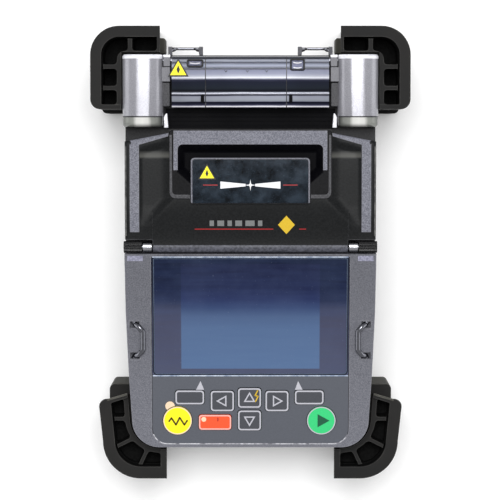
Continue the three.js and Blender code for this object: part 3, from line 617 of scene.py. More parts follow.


# the frame's colour is multiplied darker towards the rear by fade: painted shade
FRAME_GREY = moulded("frame_grey", rgb(88, 89, 97), rgb(119, 120, 128), 0.5, 2100, rgb(138, 138, 145), 0.25,
                     fade=(-10, -85, 0.74))
CASING = moulded("casing", rgb(26, 26, 28), rgb(38, 38, 40), 0.5, edge=rgb(72, 72, 76), specular=0.15)
COVER = moulded("cover", rgb(21, 22, 23), rgb(29, 30, 31), 0.42, edge=rgb(92, 92, 96), specular=0.09,
                blotch=0.06)
CROWN = moulded("crown", rgb(14, 14, 16), rgb(22, 22, 24), 0.45, edge=rgb(70, 70, 74), specular=0.06,
                blotch=0.06)
# painted highlight band for the cover's shoulders
SHOULDER_HIGHLIGHT = painted_shoulder_highlight()
# light grey for strips along the cover's outer edges: a painted highlight of the edge fillet
RIM_HIGHLIGHT = moulded("cover_rim_highlight", rgb(60, 60, 60), rgb(104, 104, 102), 0.4, 240, specular=0.2, blotch=0.4)
STRIP = moulded("strip_grey", rgb(84, 85, 94), rgb(126, 127, 137), 0.55, 2000, rgb(128, 128, 134), 0.2, 0.6)
CROWN_EDGE = moulded("crown_edge", rgb(40, 40, 44), rgb(66, 66, 70), 0.4, 1500, rgb(96, 96, 100), 0.2)
TUBE_GREY = moulded("tube_grey", rgb(60, 61, 68), rgb(86, 87, 96), 0.4, 700, specular=0.2, blotch=0.3)
# light pads at the panel's rear corners: a painted highlight on small chamfers
FACET_HIGHLIGHT = moulded("panel_facet_highlight", rgb(116, 116, 134), rgb(150, 150, 168), 0.5, 900, specular=0.2)
BRACKET = moulded("bracket_grey", rgb(66, 66, 72), rgb(86, 86, 92), 0.45, edge=rgb(120, 120, 126),
                  specular=0.2)
# near-black for recesses, slots, openings and the deck: painted shade
RECESS_SHADE = moulded("recess_shade", rgb(5, 5, 8), rgb(9, 9, 12), 0.5, specular=0.03)
BARREL = moulded("barrel_black", rgb(14, 14, 15), rgb(24, 24, 26), 0.28, specular=0.3)
BLACK = moulded("black_moulding", rgb(12, 12, 13), rgb(22, 22, 24), 0.4, edge=rgb(70, 70, 74), specular=0.2)
# pale grey for the keypad film's near edge: a painted highlight along its rim
KEYPAD_EDGE_HIGHLIGHT = moulded("keypad_edge_highlight", rgb(104, 104, 112), rgb(206, 206, 212), 0.4, 420)
# pale blue for strips along the display window's near and far edges: painted highlights
WINDOW_EDGE_HIGHLIGHT = moulded("window_edge_highlight", rgb(134, 148, 174), rgb(204, 214, 230), 0.2, 300)
RUBBER = rubber("rubber", rgb(20, 20, 20), rgb(40, 39, 38), rgb(68, 67, 65))
# paler rubber with dust; on the steps' end faces and the front arms' end bands it is a painted highlight
RUBBER_DUST_AND_HIGHLIGHT = rubber("rubber_dust_and_highlight", rgb(48, 48, 44), rgb(80, 79, 73), rgb(112, 110, 104))
# near-black rubber for the walls deep in the bumpers' cells: painted shade
POCKET_SHADE = speckled("rubber_pocket_shade", rgb(12, 12, 12), 0.85, 0.1, (700, 3.0),
                  [(0.3, rgb(8, 8, 8)), (0.7, rgb(18, 18, 18))], 0.3, 0.00015)
CERAMIC = speckled("ceramic", rgb(226, 222, 210), 0.45, 0.5, (800, 3.0),
                   [(0.3, rgb(214, 209, 196)), (0.7, rgb(236, 232, 222))], 0.15, 0.00006)
SILVER = silver_paint("silver_paint", rgb(170, 170, 176), rgb(140, 140, 147), rgb(122, 121, 127), 0.2)
# a darker, rougher copy of the silver paint for the flat flanges and lug caps: its darker colour is painted
# shade
SILVER_DULL_SHADED = silver_paint("silver_dull_shaded", rgb(112, 112, 117), rgb(92, 92, 97), rgb(80, 79, 84), 0.46)
# silver for the clamps' noses, with a painted highlight along the crown
SILVER_NOSE_HIGHLIGHT = nose_paint_and_highlight()
CHROME = metal("polished_wire", rgb(120, 121, 128), 0.1, (6, 6, 6), 0.2)
STEEL = metal("turned_steel", rgb(176, 177, 182), 0.24)
ALUMINIUM = metal("machined_aluminium", rgb(112, 113, 119), 0.46)
BRASS = metal("brass", rgb(188, 150, 76), 0.3)
ANODISED = metal("black_anodised", rgb(52, 55, 64), 0.35)
# the name plate's lighter cloud is a painted mottled reflection
PLATE_GLOSS = gloss("plate_gloss", rgb(3, 6, 10), rgb(32, 44, 56), 0.06, 110, 0.16)
# the lid's bands along Y are painted highlights and reflections, with the parts seen through it
LID = smoked_lid_painted_light()
LID_BLACK = gloss("lid_black", rgb(5, 5, 9), rgb(16, 18, 26), 0.1, 40, 0.1)
LID_BLUE = gloss("lid_blue", rgb(46, 49, 74), rgb(104, 108, 138), 0.16, 90, 0.2)
WHITE_EDGE = gloss("white_edge", rgb(206, 206, 214), rgb(238, 238, 244), 0.12, 90)
CLEAR_EDGE = gloss("clear_edge", rgb(40, 46, 74), rgb(70, 78, 112), 0.08, 80)
GLASS = display_glass_and_reflection()
BOARD = board()
OVERLAY = film("overlay_film", rgb(82, 85, 93))
KEY_GREY = film("key_grey", rgb(66, 68, 74))
PRINT = film("print_grey", rgb(178, 178, 186), 0.03)
PRINT_WHITE = film("print_white", rgb(226, 226, 230), 0.03)
PRINT_DIM = film("print_dim", rgb(112, 114, 114), 0.05)
PRINT_PINK = film("print_pink", rgb(236, 168, 158), 0.03)
PRINT_AMBER = film("print_amber", rgb(206, 172, 40), 0.05)
YELLOW = film("key_yellow", rgb(250, 236, 26), 0.03)
GREEN = film("key_green", rgb(52, 196, 118), 0.04)
ORANGE = film("key_orange", rgb(238, 84, 44), 0.05)
RED = film("print_red", rgb(150, 26, 28), 0.05)
NAVY = film("window_navy", rgb(9, 13, 30), 0.1, 0.3)
SLATE = film("window_slate", rgb(74, 88, 108), 0.25, 0.3)
INK = film("ink_dark", rgb(18, 19, 20), 0.05)
OLIVE = film("print_olive", rgb(74, 62, 8), 0.05)
GREEN_DARK = film("print_green", rgb(20, 84, 58), 0.05)
LED_PALE = film("led_pale", rgb(232, 206, 176), 0.03, 0.3)


# ---- corner bumpers
CLEARANCE = 0.5
RIB_DROP, GROOVE, GROOVE_DEPTH = 2.2, 0.9, 9  # ribs lie lower than the outer wall, behind a groove
SIDE_SLOPE = 0.107  # how fast the front bumpers' sides draw in towards the front
STEP_TOP = 34  # the side arms are longer below this height
# side, end and inward are where the outside lies, arm is where the side arm ends, lean is how much shorter
# the end is at the foot than at the top, depth is that of the cells, foot is the space cut out underneath
REAR_RUBBER = {
    "side": 80.7, "end": 115.6, "corner_r": 14.6, "arm": 73.6, "inward": 45.5, "lean": 2.9,
    "top": 70, "wall": 5.5, "end_wall": 1.5, "rib": 1.9, "depth": 23, "gap": 0.4,
    "step": (56, 77.2, 71.8, 78), "grips": (22, 34, 46, 58),
    "ribs": (((60, 84.4), (90, 84.4)), ((60, 95.1), (90, 95.1)), ((60.7, 95), (60.7, 120))),
    "foot": (30, 52, 66, 103, -1, 8),
}
FRONT_RUBBER = {
    "side": 78.1, "corner": 75.9, "end": -116.1, "corner_r": 19.5, "arm": -74.8, "inward": 43, "lean": 2.4,
    "top": 56.5, "wall": 6.1, "end_wall": 3.2, "rib": 1.5, "depth": 14, "gap": 1.3,
    "undercut": 7.4, "slant": 3.4, "step": (56, 73.8, -82, -69.9), "grips": (16, 27, 38),
    "ribs": (((58, -85.4), (90, -85.4)), ((57, -93.9), (72, -101.3)), ((52.4, -99.9), (57.6, -111))),
    "foot": (30, 52, -104, -70, -1, 8),
}


def rear_bumper_outline(inset, lean=0.0):
    """The right rear bumper from above, drawn in by inset."""
    d = REAR_RUBBER
    tip = max(5 - inset, 0.6)
    arm = d["arm"] + (inset and 2.4)
    end_x = d["inward"] + (inset and d["end_wall"]) + lean
    return (
        [(40, arm)]
        + arc(d["side"] - inset - tip, arm + tip, tip, -90, 0, 8)
        + arc(d["side"] - d["corner_r"], d["end"] - d["corner_r"], d["corner_r"] - inset, 0, 90, 14)
        + [(end_x, d["end"] - inset), (end_x, 90), (40 - 0.01, 90)]
    )


def front_bumper_outline(inset, lean=0.0):
    """The right front bumper from above, drawn in by inset."""
    d = FRONT_RUBBER
    tip = max(4 - inset, 0.6)
    arm = d["arm"] - (inset and 2.2) - (lean and d["undercut"])
    near_x = d["inward"] + (inset and d["end_wall"]) + lean
    cx, cy = d["corner"] - d["corner_r"], d["end"] + d["corner_r"]
    side = d["side"] - inset - 0.3 - (lean and d["undercut"] * SIDE_SLOPE)
    return (
        [(near_x, -90), (near_x, d["end"] + inset)]
        + arc(cx, cy, d["corner_r"] - inset, -90, 0, 16)
        + arc(side - tip, arm - tip, tip, 0, 90, 8)
        + [(71.8, arm), (61, arm + d["slant"]), (40, arm + d["slant"]), (40, -90 + 0.01)]
    )


def bar(a, b, width, low, high):
    """An upright bar from a to b."""
    along = Vector((b[0] - a[0], b[1] - a[1]))
    across = Vector((-along.y, along.x)).normalized() * width / 2
    corners = [Vector(a) - across, Vector(b) - across, Vector(b) + across, Vector(a) + across]
    return prism([tuple(c) for c in corners], low, high)


def inside(point, outline):
    """Whether a point lies within an outline."""
    x, y = point
    hit = False
    for (ax, ay), (bx, by) in zip(outline, outline[1:] + outline[:1]):
        if (ay > y) != (by > y) and x < (bx - ax) * (y - ay) / (by - ay) + ax:
            hit = not hit
    return hit


def eased(points):
    """A closed outline with its corners rounded: each point becomes the mean of its neighbours."""
    step, reach = 0.55, 3
    loop = []
    for (ax, ay), (bx, by) in zip(points, points[1:] + points[:1]):
        count = max(1, round(math.hypot(bx - ax, by - ay) / step))
        loop += [(ax + (bx - ax) * i / count, ay + (by - ay) * i / count) for i in range(count)]
    means = []
    for i in range(len(loop)):
        near = [loop[(i + k) % len(loop)] for k in range(-reach, reach + 1)]
        means.append(tuple(sum(values) / len(near) for values in zip(*near)))
    return means


def pockets(cells, floor, top):
    """One tapering cutter for each cell, with rounded corners."""
    bmesh.ops.dissolve_limit(cells, angle_limit=math.radians(1), verts=cells.verts, edges=cells.edges)
    cutters = []
    for face in cells.faces:
        if face.normal.z > 0.9 and face.calc_area() > 12:
            loop = eased([(v.co.x, v.co.y) for v in face.verts])
            middle = face.calc_center_median()
            low = [(middle.x + (x - middle.x) * 0.9, middle.y + (y - middle.y) * 0.9) for x, y in loop]
            cutters.append(skin([[(x, y, floor) for x, y in low], [(x, y, top + 2) for x, y in loop]]))
    cells.free()
    return cutters


def groove_outside(outline, d, z):
    """A shallow grip groove round the outer wall that stops short of both ends."""
    ring = band(outline(-1.0), outline(0.8), z, z + 1.5)
    sign = 1 if d["end"] > 0 else -1
    near, far = sorted((d["arm"] + 7 * sign, d["end"] + 3 * sign))
    return combine(ring, box(d["inward"] + 9, 90, near, far, 0, 80), "INTERSECT")


def bumper(name, outline, inner, d, extra, sign):
    """A corner bumper: a hollow block with open cells in its top, ribs between them and grip grooves."""
    top, floor = d["top"], d["top"] - d["depth"]
    cells = prism(outline(d["wall"]), floor, top + 2)
    cells = cut(cells, prism(inner, 0, top + 4))
    for a, b in d["ribs"]:
        cells = cut(cells, bar(a, b, d["rib"], 0, top + 4))
    lowered = prism(outline(d["wall"]), top - RIB_DROP, top + 2)
    groove = prism(outline(d["wall"]), top - GROOVE_DEPTH, top + 2)
    groove = cut(groove, prism(outline(d["wall"] + GROOVE), 0, top + 4), prism(inner, 0, top + 4))
    block = skin([[(x, y, 0) for x, y in outline(0, d["lean"])], [(x, y, top) for x, y in outline(0)]])
    x0, x1, y0, y1 = d["step"]
    block = combine(block, prism(rounded(x0, x1, y0, y1, 2.5), 0, STEP_TOP), "UNION")
    hollow = prism(body_outline(CLEARANCE), 4.6, top + 2)
    gap = prism(body_outline(CLEARANCE + d["gap"]), top - 7, top + 2)
    grips = [groove_outside(outline, d, z) for z in d["grips"]]
    block = cut(block, hollow, gap, *grips, box(*d["foot"]), *pockets(cells, floor, top), lowered, groove,
                *extra)
    middle, casing = outline(d["wall"] - 0.4), body_outline(CLEARANCE + 0.6)

    def in_pocket(centre, _):
        spot = (centre.x, centre.y)
        deep = floor - 0.5 < centre.z < top - RIB_DROP - 0.1
        return deep and inside(spot, middle) and not inside(spot, casing)

    # faces deep in the cells get the near-black rubber: painted shade
    block = paint(block, in_pocket, 1)
    # faces that face forward or back below the step top get the paler rubber: painted highlight
    block = paint(block, lambda c, n: abs(n.y) > 0.6 and c.z < STEP_TOP and abs(c.y) < 80, 2)
    if sign < 0:
        block = mirrored(block)
    finishes = [RUBBER, POCKET_SHADE, RUBBER_DUST_AND_HIGHLIGHT]
    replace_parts(piece(name + "_moulding", block, finishes, "base", "rubber", bevel=0.7, steps=3), name)


def bumpers():
    rear_inner = rounded(-67.3, 67.3, 30, BODY_REAR + 2, 1, 3.5)
    front_inner = body_outline(CLEARANCE + 3.6)
    top = FRONT_RUBBER["top"]
    for side, sign in SIDES:
        bumper("bumper_rear_" + side, rear_bumper_outline, rear_inner, REAR_RUBBER,
               [box(30, 65.1, 60, 102.4, 61.5, 90)], sign)
        bumper("bumper_front_" + side, front_bumper_outline, front_inner, FRONT_RUBBER, [], sign)
        # pale band along the top of each front arm's end: painted highlight
        end = prism(flipped([(73.6, -76.0), (63.4, -73.0), (63.4, -71.9), (73.6, -74.9)], sign),
                    top - 0.4, top + 0.12)
        piece("bumper_end_band_" + side, end, RUBBER_DUST_AND_HIGHLIGHT, "base", "rubber", bevel=0.15)
        ledge = prism(flipped(rounded(44.9, 56, 103.2, 111.5, 1.0), sign), 0, 20)
        piece("bumper_ledge_" + side, ledge, RUBBER_DUST_AND_HIGHLIGHT, "base", "rubber", bevel=0.6, steps=3)


# ---- wind cover
CORNER_X, CORNER_DROP = 41.2, 1.2  # where the rear edge turns, and how far it has dropped there
FLANK_DROP = 4.4  # how much further it drops out to the side
BARREL_REAR = 8
BARREL_X = 49.2  # the hood reaches the hinge between the two barrels


def cover_part(name, bm, finish, **options):
    return piece(name, bm, finish, "wind_cover", "cover", **options)


def rear_edge(x):
    """The cover's rear outline at x."""
    x = abs(x)
    if x < CROWN_HALF:
        return COVER_REAR
    if x < CORNER_X:
        return COVER_REAR - CORNER_DROP * (x - CROWN_HALF) / (CORNER_X - CROWN_HALF)
    return COVER_REAR - CORNER_DROP - FLANK_DROP * (x - CORNER_X) / (COVER_SIDE - CORNER_X)


def front_edge(x):
    return HINGE_Y if abs(x) <= BARREL_X else BARREL_REAR


def cover_height(x, y):
    """The cover's upper surface: shoulders, scooped flanks and a hood that widens towards the hinge."""
    ax = abs(x)
    shoulder = 75.1 + 1.5 * smooth((y - 6) / 18)
    hood = 75.3 + 3.0 * smooth((y - 5) / 24)
    half = 39.6 + 13.0 * clamp((29 - y) / 14.5)
    z = shoulder + (hood - shoulder) * smooth((half + 5.5 - ax) / 8)
    strip_edge = 57.6 - 3.6 * clamp((ax - 42.5) / 13.8)
    scoop = smooth((56.0 - ax) / 1.4) * clamp((strip_edge - y) / 3.0) * smooth((y - 12) / 14)
    depth = 1.5 - 0.4 * smooth((52.4 - y) / 3.4)
    z -= depth * scoop * smooth((ax - half + 1) / 3)
    if y > 30.2 and ax < 38.5:
        z = min(z, 74.4)
    fillet = 1.5
    for distance in (COVER_SIDE - ax, rear_edge(x) - y):
        if distance < fillet:
            z -= fillet - math.sqrt(max(0.0, fillet**2 - (fillet - distance) ** 2))
    return z


def grid_lines(stops):
    """Values about 1 apart that include each of the stops."""
    lines = []
    for low, high in zip(stops, stops[1:]):
        count = max(1, round(high - low))
        lines += [low + (high - low) * i / count for i in range(count)]
    return lines + [stops[-1]]


def cover_shell():
    """The cover as a solid: columns of points from front to rear, closed down to its rim."""
    stops = [0, 38.4, 38.6, CROWN_HALF, CORNER_X, BARREL_X, BARREL_X + 0.01, 56.2, 61.6, COVER_SIDE]
    half = grid_lines(stops)
    half += [COVER_SIDE - 0.45, COVER_SIDE - 0.15]
    bm = bmesh.new()
    rows = []
    for x in sorted({-x for x in half} | set(half)):
        near, far = front_edge(x), rear_edge(x)
        ys = [near + (30.1 - near) * i / 26 for i in range(26)] + [30.1, 30.3]
        ys += [30.3 + (far - 1.6 - 30.3) * i / 32 for i in range(1, 33)]
        ys += [far - 0.8, far - 0.3, far]
        rows.append([bm.verts.new((x, y, cover_height(x, y))) for y in ys])
    for left, right in zip(rows, rows[1:]):
        for i in range(len(left) - 1):
            bm.faces.new((left[i], right[i], right[i + 1], left[i + 1]))
    rim = [row[0] for row in rows] + rows[-1][1:] + [row[-1] for row in reversed(rows[:-1])]
    rim += list(reversed(rows[0][1:-1]))
    low = [bm.verts.new((v.co.x, v.co.y, COVER_BOTTOM)) for v in rim]
    for i in range(len(rim)):
        j = (i + 1) % len(rim)
        bm.faces.new((rim[j], rim[i], low[i], low[j]))
    bm.faces.new(low)
    bmesh.ops.recalc_face_normals(bm, faces=bm.faces)
    return bm


def cover_plan(inset):
    """The cover from above, drawn in by inset."""
    rear, side, front = COVER_REAR - inset, COVER_SIDE - inset, BARREL_REAR + inset
    right = [(BARREL_X - inset, HINGE_Y + inset), (BARREL_X - inset, front), (side, front),
             (side, rear - CORNER_DROP - FLANK_DROP), (CORNER_X - inset, rear - CORNER_DROP),
             (CROWN_HALF - inset, rear)]
    return right + [(-x, y) for x, y in reversed(right)]


def draped(rows, lift, sink=0.5):
    """A strip that lies on the cover: rows are pairs of points across it."""
    tops, lows = [], []
    for (ax, ay), (bx, by) in rows:
        ring = []
        for i in range(7):
            t = i / 6
            x, y = ax + (bx - ax) * t, ay + (by - ay) * t
            ring.append((x, y, cover_height(x, y) + lift))
        tops.append(ring)
        lows.append([(x, y, z - lift - sink) for x, y, z in ring])
    return skin([top + list(reversed(low)) for top, low in zip(tops, lows)])


def shoulder_rows(sign):
    """The light strip: back along the shoulder, then in along the rear edge."""
    rows = []
    for i in range(25):
        y = 11.9 + (55.8 - 11.9) * i / 24
        rows.append(((sign * 55.9, y), (sign * 60.6, y + 2.1 * smooth((y - 50) / 5.8))))
    for i in range(1, 9):
        t = i / 8
        inner = (55.9 + (41.2 - 55.9) * t, 55.8 + (60.1 - 55.8) * t)
        outer = (60.6 + (41.0 - 60.6) * t, 57.9 + (61.7 - 57.9) * t)
        rows.append(((sign * inner[0], inner[1]), (sign * outer[0], outer[1])))
    return rows


def crown():
    """The raised U-shaped frame round the finger recess."""
    r = 3.0
    outline = (
        arc(CROWN_HALF - r, CROWN_NEAR + r, r, -90, 0, 8)
        + [(CROWN_HALF, COVER_REAR), (-CROWN_HALF, COVER_REAR)]
        + arc(r - CROWN_HALF, CROWN_NEAR + r, r, 180, 270, 8)
    )
    block = prism(outline, 73.4, CROWN_TOP)
    top = [(-36.4, 56), (-36.4, 42), (-29.7, 36), (29.7, 36), (36.4, 42), (36.4, 56)]
    low = [(-33.2, 52.2), (-33.2, 44.6), (-28, 40), (28, 40), (33.2, 44.6), (33.2, 52.2)]
    floor = 75.4
    over = CROWN_TOP + 1
    stretch = (over - floor) / (CROWN_TOP - floor)
    high = [(lx + (tx - lx) * stretch, ly + (ty - ly) * stretch) for (tx, ty), (lx, ly) in zip(top, low)]
    recess = skin([[(x, y, floor) for x, y in low], [(x, y, over) for x, y in high]])
    # faces in the finger recess get the near-black finish: painted shade
    return paint(
        cut(block, recess), lambda c, n: abs(c.x) < 36.3 and 36 < c.y < 55.9 and c.z < CROWN_TOP - 0.1, 1
    )


def inlay():
    """Light band across the rear of the crown, with a leg down each side of the recess."""
    right = [(38.5, 62.9), (38.5, 43.1), (36.4, 43.1)] + arc(33.9, 53.5, 2.5, 0, 90, 8)
    outline = right + [(-x, y) for x, y in reversed(right)]
    return prism(outline, CROWN_TOP - 0.3, CROWN_TOP + 0.15)


def crown_edge():
    """Painted highlight along the crown's outer edge: narrow down its sides, wider across the front corners.
    """
    r = 3.0
    x, y = CROWN_HALF - r, CROWN_NEAR + r
    right = [(CROWN_HALF + 0.05, 60.8)] + list(reversed(arc(x, y, r + 0.05, -90, 0, 8)))
    right += [(30.2, CROWN_NEAR - 0.05), (30.2, CROWN_NEAR + 1.9)]
    right += arc(x, y + 0.6, r - 1.3, -90, 0, 8) + [(CROWN_HALF - 1.1, 60.8)]
    return [prism(flipped(right, sign), CROWN_TOP - 0.5, CROWN_TOP + 0.06) for _, sign in SIDES]


def emblem():
    """Generic sign on the plate: two fibre ends that meet at a spark, between two red lines."""
    middle, z0, z1 = 35.7, PLATE_TOP - 0.2, PLATE_TOP + 0.04
    end = [(2.4, middle - 0.6), (15, middle - 1.8), (15, middle + 1.8), (2.4, middle + 0.6)]
    star = []
    for i in range(16):
        r = 2.9 if i % 4 == 0 else 0.8
        a = math.pi * i / 8
        star.append((r * math.cos(a), middle + r * math.sin(a)))
    parts = [prism(points, z0, z1) for points in (flipped(end, -1), end, star)]
    piece("plate_emblem", join(*parts), PRINT_WHITE, "wind_cover", "ceramic")
    for side, sign in SIDES:
        line = [(16.4, 35.5), (23.6, 35.5), (23.6, 35.95), (16.4, 35.95)]
        piece("plate_line_" + side, prism(flipped(line, sign), z0, z1), RED, "wind_cover", "key_orange")


def hood_marks():
    """Generic marks on the hood: a red line, a row of short bars over it and an amber lozenge."""

    def strip(x0, x1, y0, y1):
        steps = max(2, round((x1 - x0) / 1.4))
        xs = [x0 + (x1 - x0) * i / steps for i in range(steps + 1)]
        return draped([((x, y0), (x, y1)) for x in xs], 0.05, 0.3)

    line = join(strip(-28, 11.5, 13.2, 13.7), strip(24.5, 28, 13.2, 13.7))
    piece("hood_line", line, RED, "wind_cover", "key_orange")
    bars, x, gap = [], -20.5, 1.7
    for width in (2.2, 3.4, 2.2, 3.4, 4.6, 2.2):
        bars.append(strip(x, x + width, 15.0, 17.8))
        x += width + gap
    piece("hood_bars", join(*bars), PRINT_DIM, "wind_cover", "ceramic")
    left, width, middle, reach = 13.9, 8.4, 15.6, 4.6
    rows = []
    for i in range(17):
        half = reach * abs(abs(i / 8 - 1) - 1) + 0.05
        x = left + width * i / 16
        rows.append(((x, middle - half), (x, middle + half)))
    piece("hood_lozenge", draped(rows, 0.05, 0.3), PRINT_AMBER, "wind_cover", "key_yellow")


def sign_triangle(name, x, y, size, z, body):
    """Plain yellow triangle with a dark rim and a small dark lozenge."""
    outer = [(x - size, y - size * 0.66), (x + size, y - size * 0.66), (x, y + size * 1.08)]
    inner = [(x + (a - x) * 0.78, y + (b - y) * 0.78) for a, b in outer]
    lozenge = [(x, y - size * 0.4), (x + size * 0.17, y), (x, y + size * 0.45), (x - size * 0.17, y)]
    for part, points, rise, finish, slot in (
        ("_rim", outer, 0, INK, "black"),
        ("_face", inner, 0.05, YELLOW, "key_yellow"),
        ("_lozenge", lozenge, 0.08, INK, "black"),
    ):
        piece(name + part, prism(points, z - 0.3, z + rise), finish, body, slot)


def wind_cover():
    cavity = cut(prism(cover_plan(2.4), COVER_BOTTOM - 1, 73), box(-70, 70, 0, 9.6, 60, 80))
    fiber_pass = box(-70, 70, 31, 39, COVER_BOTTOM - 1, COVER_BOTTOM + 2.4)
    shell = cut(cover_shell(), cavity, fiber_pass)
    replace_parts(cover_part("wind_cover_shell", shell, COVER, angle=50), "wind_cover")
    end = [(HINGE_R - 0.4, BARREL_X), (HINGE_R, BARREL_X - 0.4)]
    bar_ends = [(r, -x) for r, x in end] + end[::-1]
    cover_part("wind_cover_hinge_tube", turned(bar_ends, "x", (HINGE_Y, HINGE_Z), 48), TUBE_GREY)
    cover_part("wind_cover_crown", crown(), [CROWN, RECESS_SHADE], bevel=0.7, steps=3)
    for side, sign in SIDES:
        # painted highlight strips across the shoulders
        highlight_rows = [((sign * x, 48.8), (sign * x, 52.8)) for x in (40.6, 43, 46, 49.2, 51, 53.6, 55.7)]
        # painted highlight strips along the cover's outer edges
        rim = [((sign * 62.3, y), (sign * 62.95, y)) for y in range(10, 56, 3)]
        cover_part("wind_cover_rim_" + side, draped(rim, 0.05), RIM_HIGHLIGHT)
        cover_part("shoulder_highlight_strip_" + side, draped(highlight_rows, 0.06), SHOULDER_HIGHLIGHT)
    # painted highlight along the crown's outer edge
    cover_part("wind_cover_crown_edge", join(*crown_edge()), CROWN_EDGE, bevel=0.2)
    cover_part("wind_cover_inlay", inlay(), STRIP, bevel=0.12)
    for side, sign in SIDES:
        cover_part("wind_cover_strip_" + side, draped(shoulder_rows(sign), 0.22), STRIP, angle=40)
    # the seat is light grey so its rim shows as a thin light border round the plate: a painted highlight of
    # the plate's edge
    cover_part("plate_seat", prism(rounded(-29.8, 29.8, 26.6, 49.3, 0.6, 1.8), 74, 80.9), STRIP, bevel=0.35)
    plate = prism(rounded(-29.0, 29.0, 26.7, 48.6, 0.5, 1.3), 80.6, PLATE_TOP)
    obj = piece("plate_glossy", plate, PLATE_GLOSS, "wind_cover", "gloss", bevel=0.3, steps=3)
    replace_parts(obj, "cover_plate")
    emblem()
    sign_triangle("plate_sign", -21.7, 41.5, 4.6, PLATE_TOP + 0.03, "wind_cover")
    hood_marks()


# ---- sleeve heater
LID_PROFILE = (
    (99.6, 72.4), (100.1, 73.6), (99.7, 75.1), (99.1, 75.5), (98.7, 75.8), (97.2, 76.05), (97.0, 75.7),
    (96.7, 75.7), (96.5, 76.1), (94.3, 76.4), (94.1, 76.1), (93.7, 76.15), (93.5, 76.5), (90.1, 77.1),
    (89.0, 77.2), (88.4, 77.0), (88.1, 76.1), (82.8, 74.6), (82.2, 76.2), (81.9, 76.8), (81.3, 76.8),
    (81.0, 76.3), (80.7, 76.3), (80.4, 76.5), (77.2, 75.6), (76.9, 75.1), (76.0, 75.0), (75.6, 75.2),
    (75.3, 75.4), (74.9, 75.3), (74.5, 74.6), (74.5, 72.4),
)
LID_HALF = 39.4


def lid_part(name, bm, finish, **options):
    return piece(name, bm, finish, "heater_lid", "clear", **options)


def lid_section(x0, x1, grow=0.0):
    """The lid's section between x0 and x1."""
    return prism([(y, z + (grow if z > 73 else 0)) for y, z in LID_PROFILE], x0, x1, "x")


def window(name, x0, x1, y0, y1, arcs):
    """Rounded window with a dark rim over the rear of the lid, and pale arcs in it."""
    z, rim = 76.0, 0.9
    outer = rounded(x0, x1, y0, y1, 1.1)
    inner = rounded(x0 + rim, x1 - rim, y0 + rim, y1 - rim, 0.5)
    lid_part(name + "_rim", band(outer, inner, z, z + 1.05), LID_BLACK, bevel=0.2)
    lid_part(name + "_pane", prism(inner, z, z + 0.6), LID_BLUE, bevel=0.15)
    left, length, sag = x0 + 1.6, x1 - x0 - 3.2, 0.35
    for i in range(arcs):
        y = y1 - 1.9 - 2.5 * i
        path = []
        for t in range(11):
            path.append(Vector((left + length * t / 10, y - sag * math.sin(math.pi * t / 10), z + 0.75)))
        lid_part(f"{name}_arc_{i}", tube(path, 0.28, 8), WHITE_EDGE)


def heater_lid():
    """The clear lid with its hinge knuckle, seams, slots, windows, arrow marks and sign."""
    under = [(75.9, 70), (94.6, 70), (94.6, 73.6), (86, 74.3), (80, 74.1), (75.9, 72.8)]
    slit = box(-50, 50, 84.3, 86.3, 70, 73.4)
    shell = cut(lid_section(-LID_HALF, LID_HALF), prism(under, -38, 38, "x"), slit)
    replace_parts(lid_part("heater_lid_shell", shell, LID, angle=20), "heater_lid")
    knuckle = [(1.8, -LID_HALF), (2.1, 0.5 - LID_HALF), (2.1, LID_HALF - 0.5), (1.8, LID_HALF)]
    lid_part("heater_lid_knuckle", turned(knuckle, "x", (ROD_Y, ROD_Z)), CLEAR_EDGE)
    for i, x in enumerate((-22.5, 18.1)):
        lid_part(f"heater_lid_seam_{i}", lid_section(x - 0.22, x + 0.22, 0.04), BLACK)
    # dark slots on the lid: near-black strips that are painted shade
    for i, x in enumerate((-24.0, 20.2)):
        slot = box(x - 0.85, x + 0.85, 76.9, 80.9, 75.4, 76.8)
        lid_part(f"heater_lid_slot_{i}", slot, RECESS_SHADE, bevel=0.15)
    window("heater_window_left", -31.9, -23.5, 94.5, 98.6, 1)
    window("heater_window_right", 19.8, 27.3, 92.8, 98.9, 2)
    arrow_head = [(-0.8, 93.0), (0, 91.9), (0.8, 93.0), (0.45, 93.0), (0, 92.4), (-0.45, 93.0)]
    for i, x in enumerate((-12.3, -1.5, 8.1)):
        lid_part(f"heater_mark_{i}", prism([(x + dx, y) for dx, y in arrow_head], 76.4, 76.9), INK)
    sign_triangle("heater_sign", -36.1, 93.3, 5.2, 77.25, "heater_lid")


CLAMP_X0, CLAMP_X1, CLAMP_Y0, CLAMP_Y1 = 43.9, 64.3, 64.9, 101.0
SPRING, CLAMP_TOP = 71.0, 78.6


def arch(inset, low, top=CLAMP_TOP, steps=28):
    """A section of the clamp: upright sides and a flattened half-ellipse."""
    middle, half = (CLAMP_X0 + CLAMP_X1) / 2, (CLAMP_X1 - CLAMP_X0) / 2 - inset
    points = [(middle - half, low), (middle + half, low)]
    for i in range(steps + 1):
        a = math.pi * i / steps
        c, s = math.cos(a), math.sin(a)
        x = half * math.copysign(abs(c) ** 0.8, c)
        points.append((middle + x, SPRING + (top - SPRING - inset) * s ** 0.9))
    return points


def arched(low, stations):
    """The clamp's section carried through stations of (y, top, inset)."""
    return skin([[(x, y, z) for x, z in arch(inset, low, top)] for y, top, inset in stations])


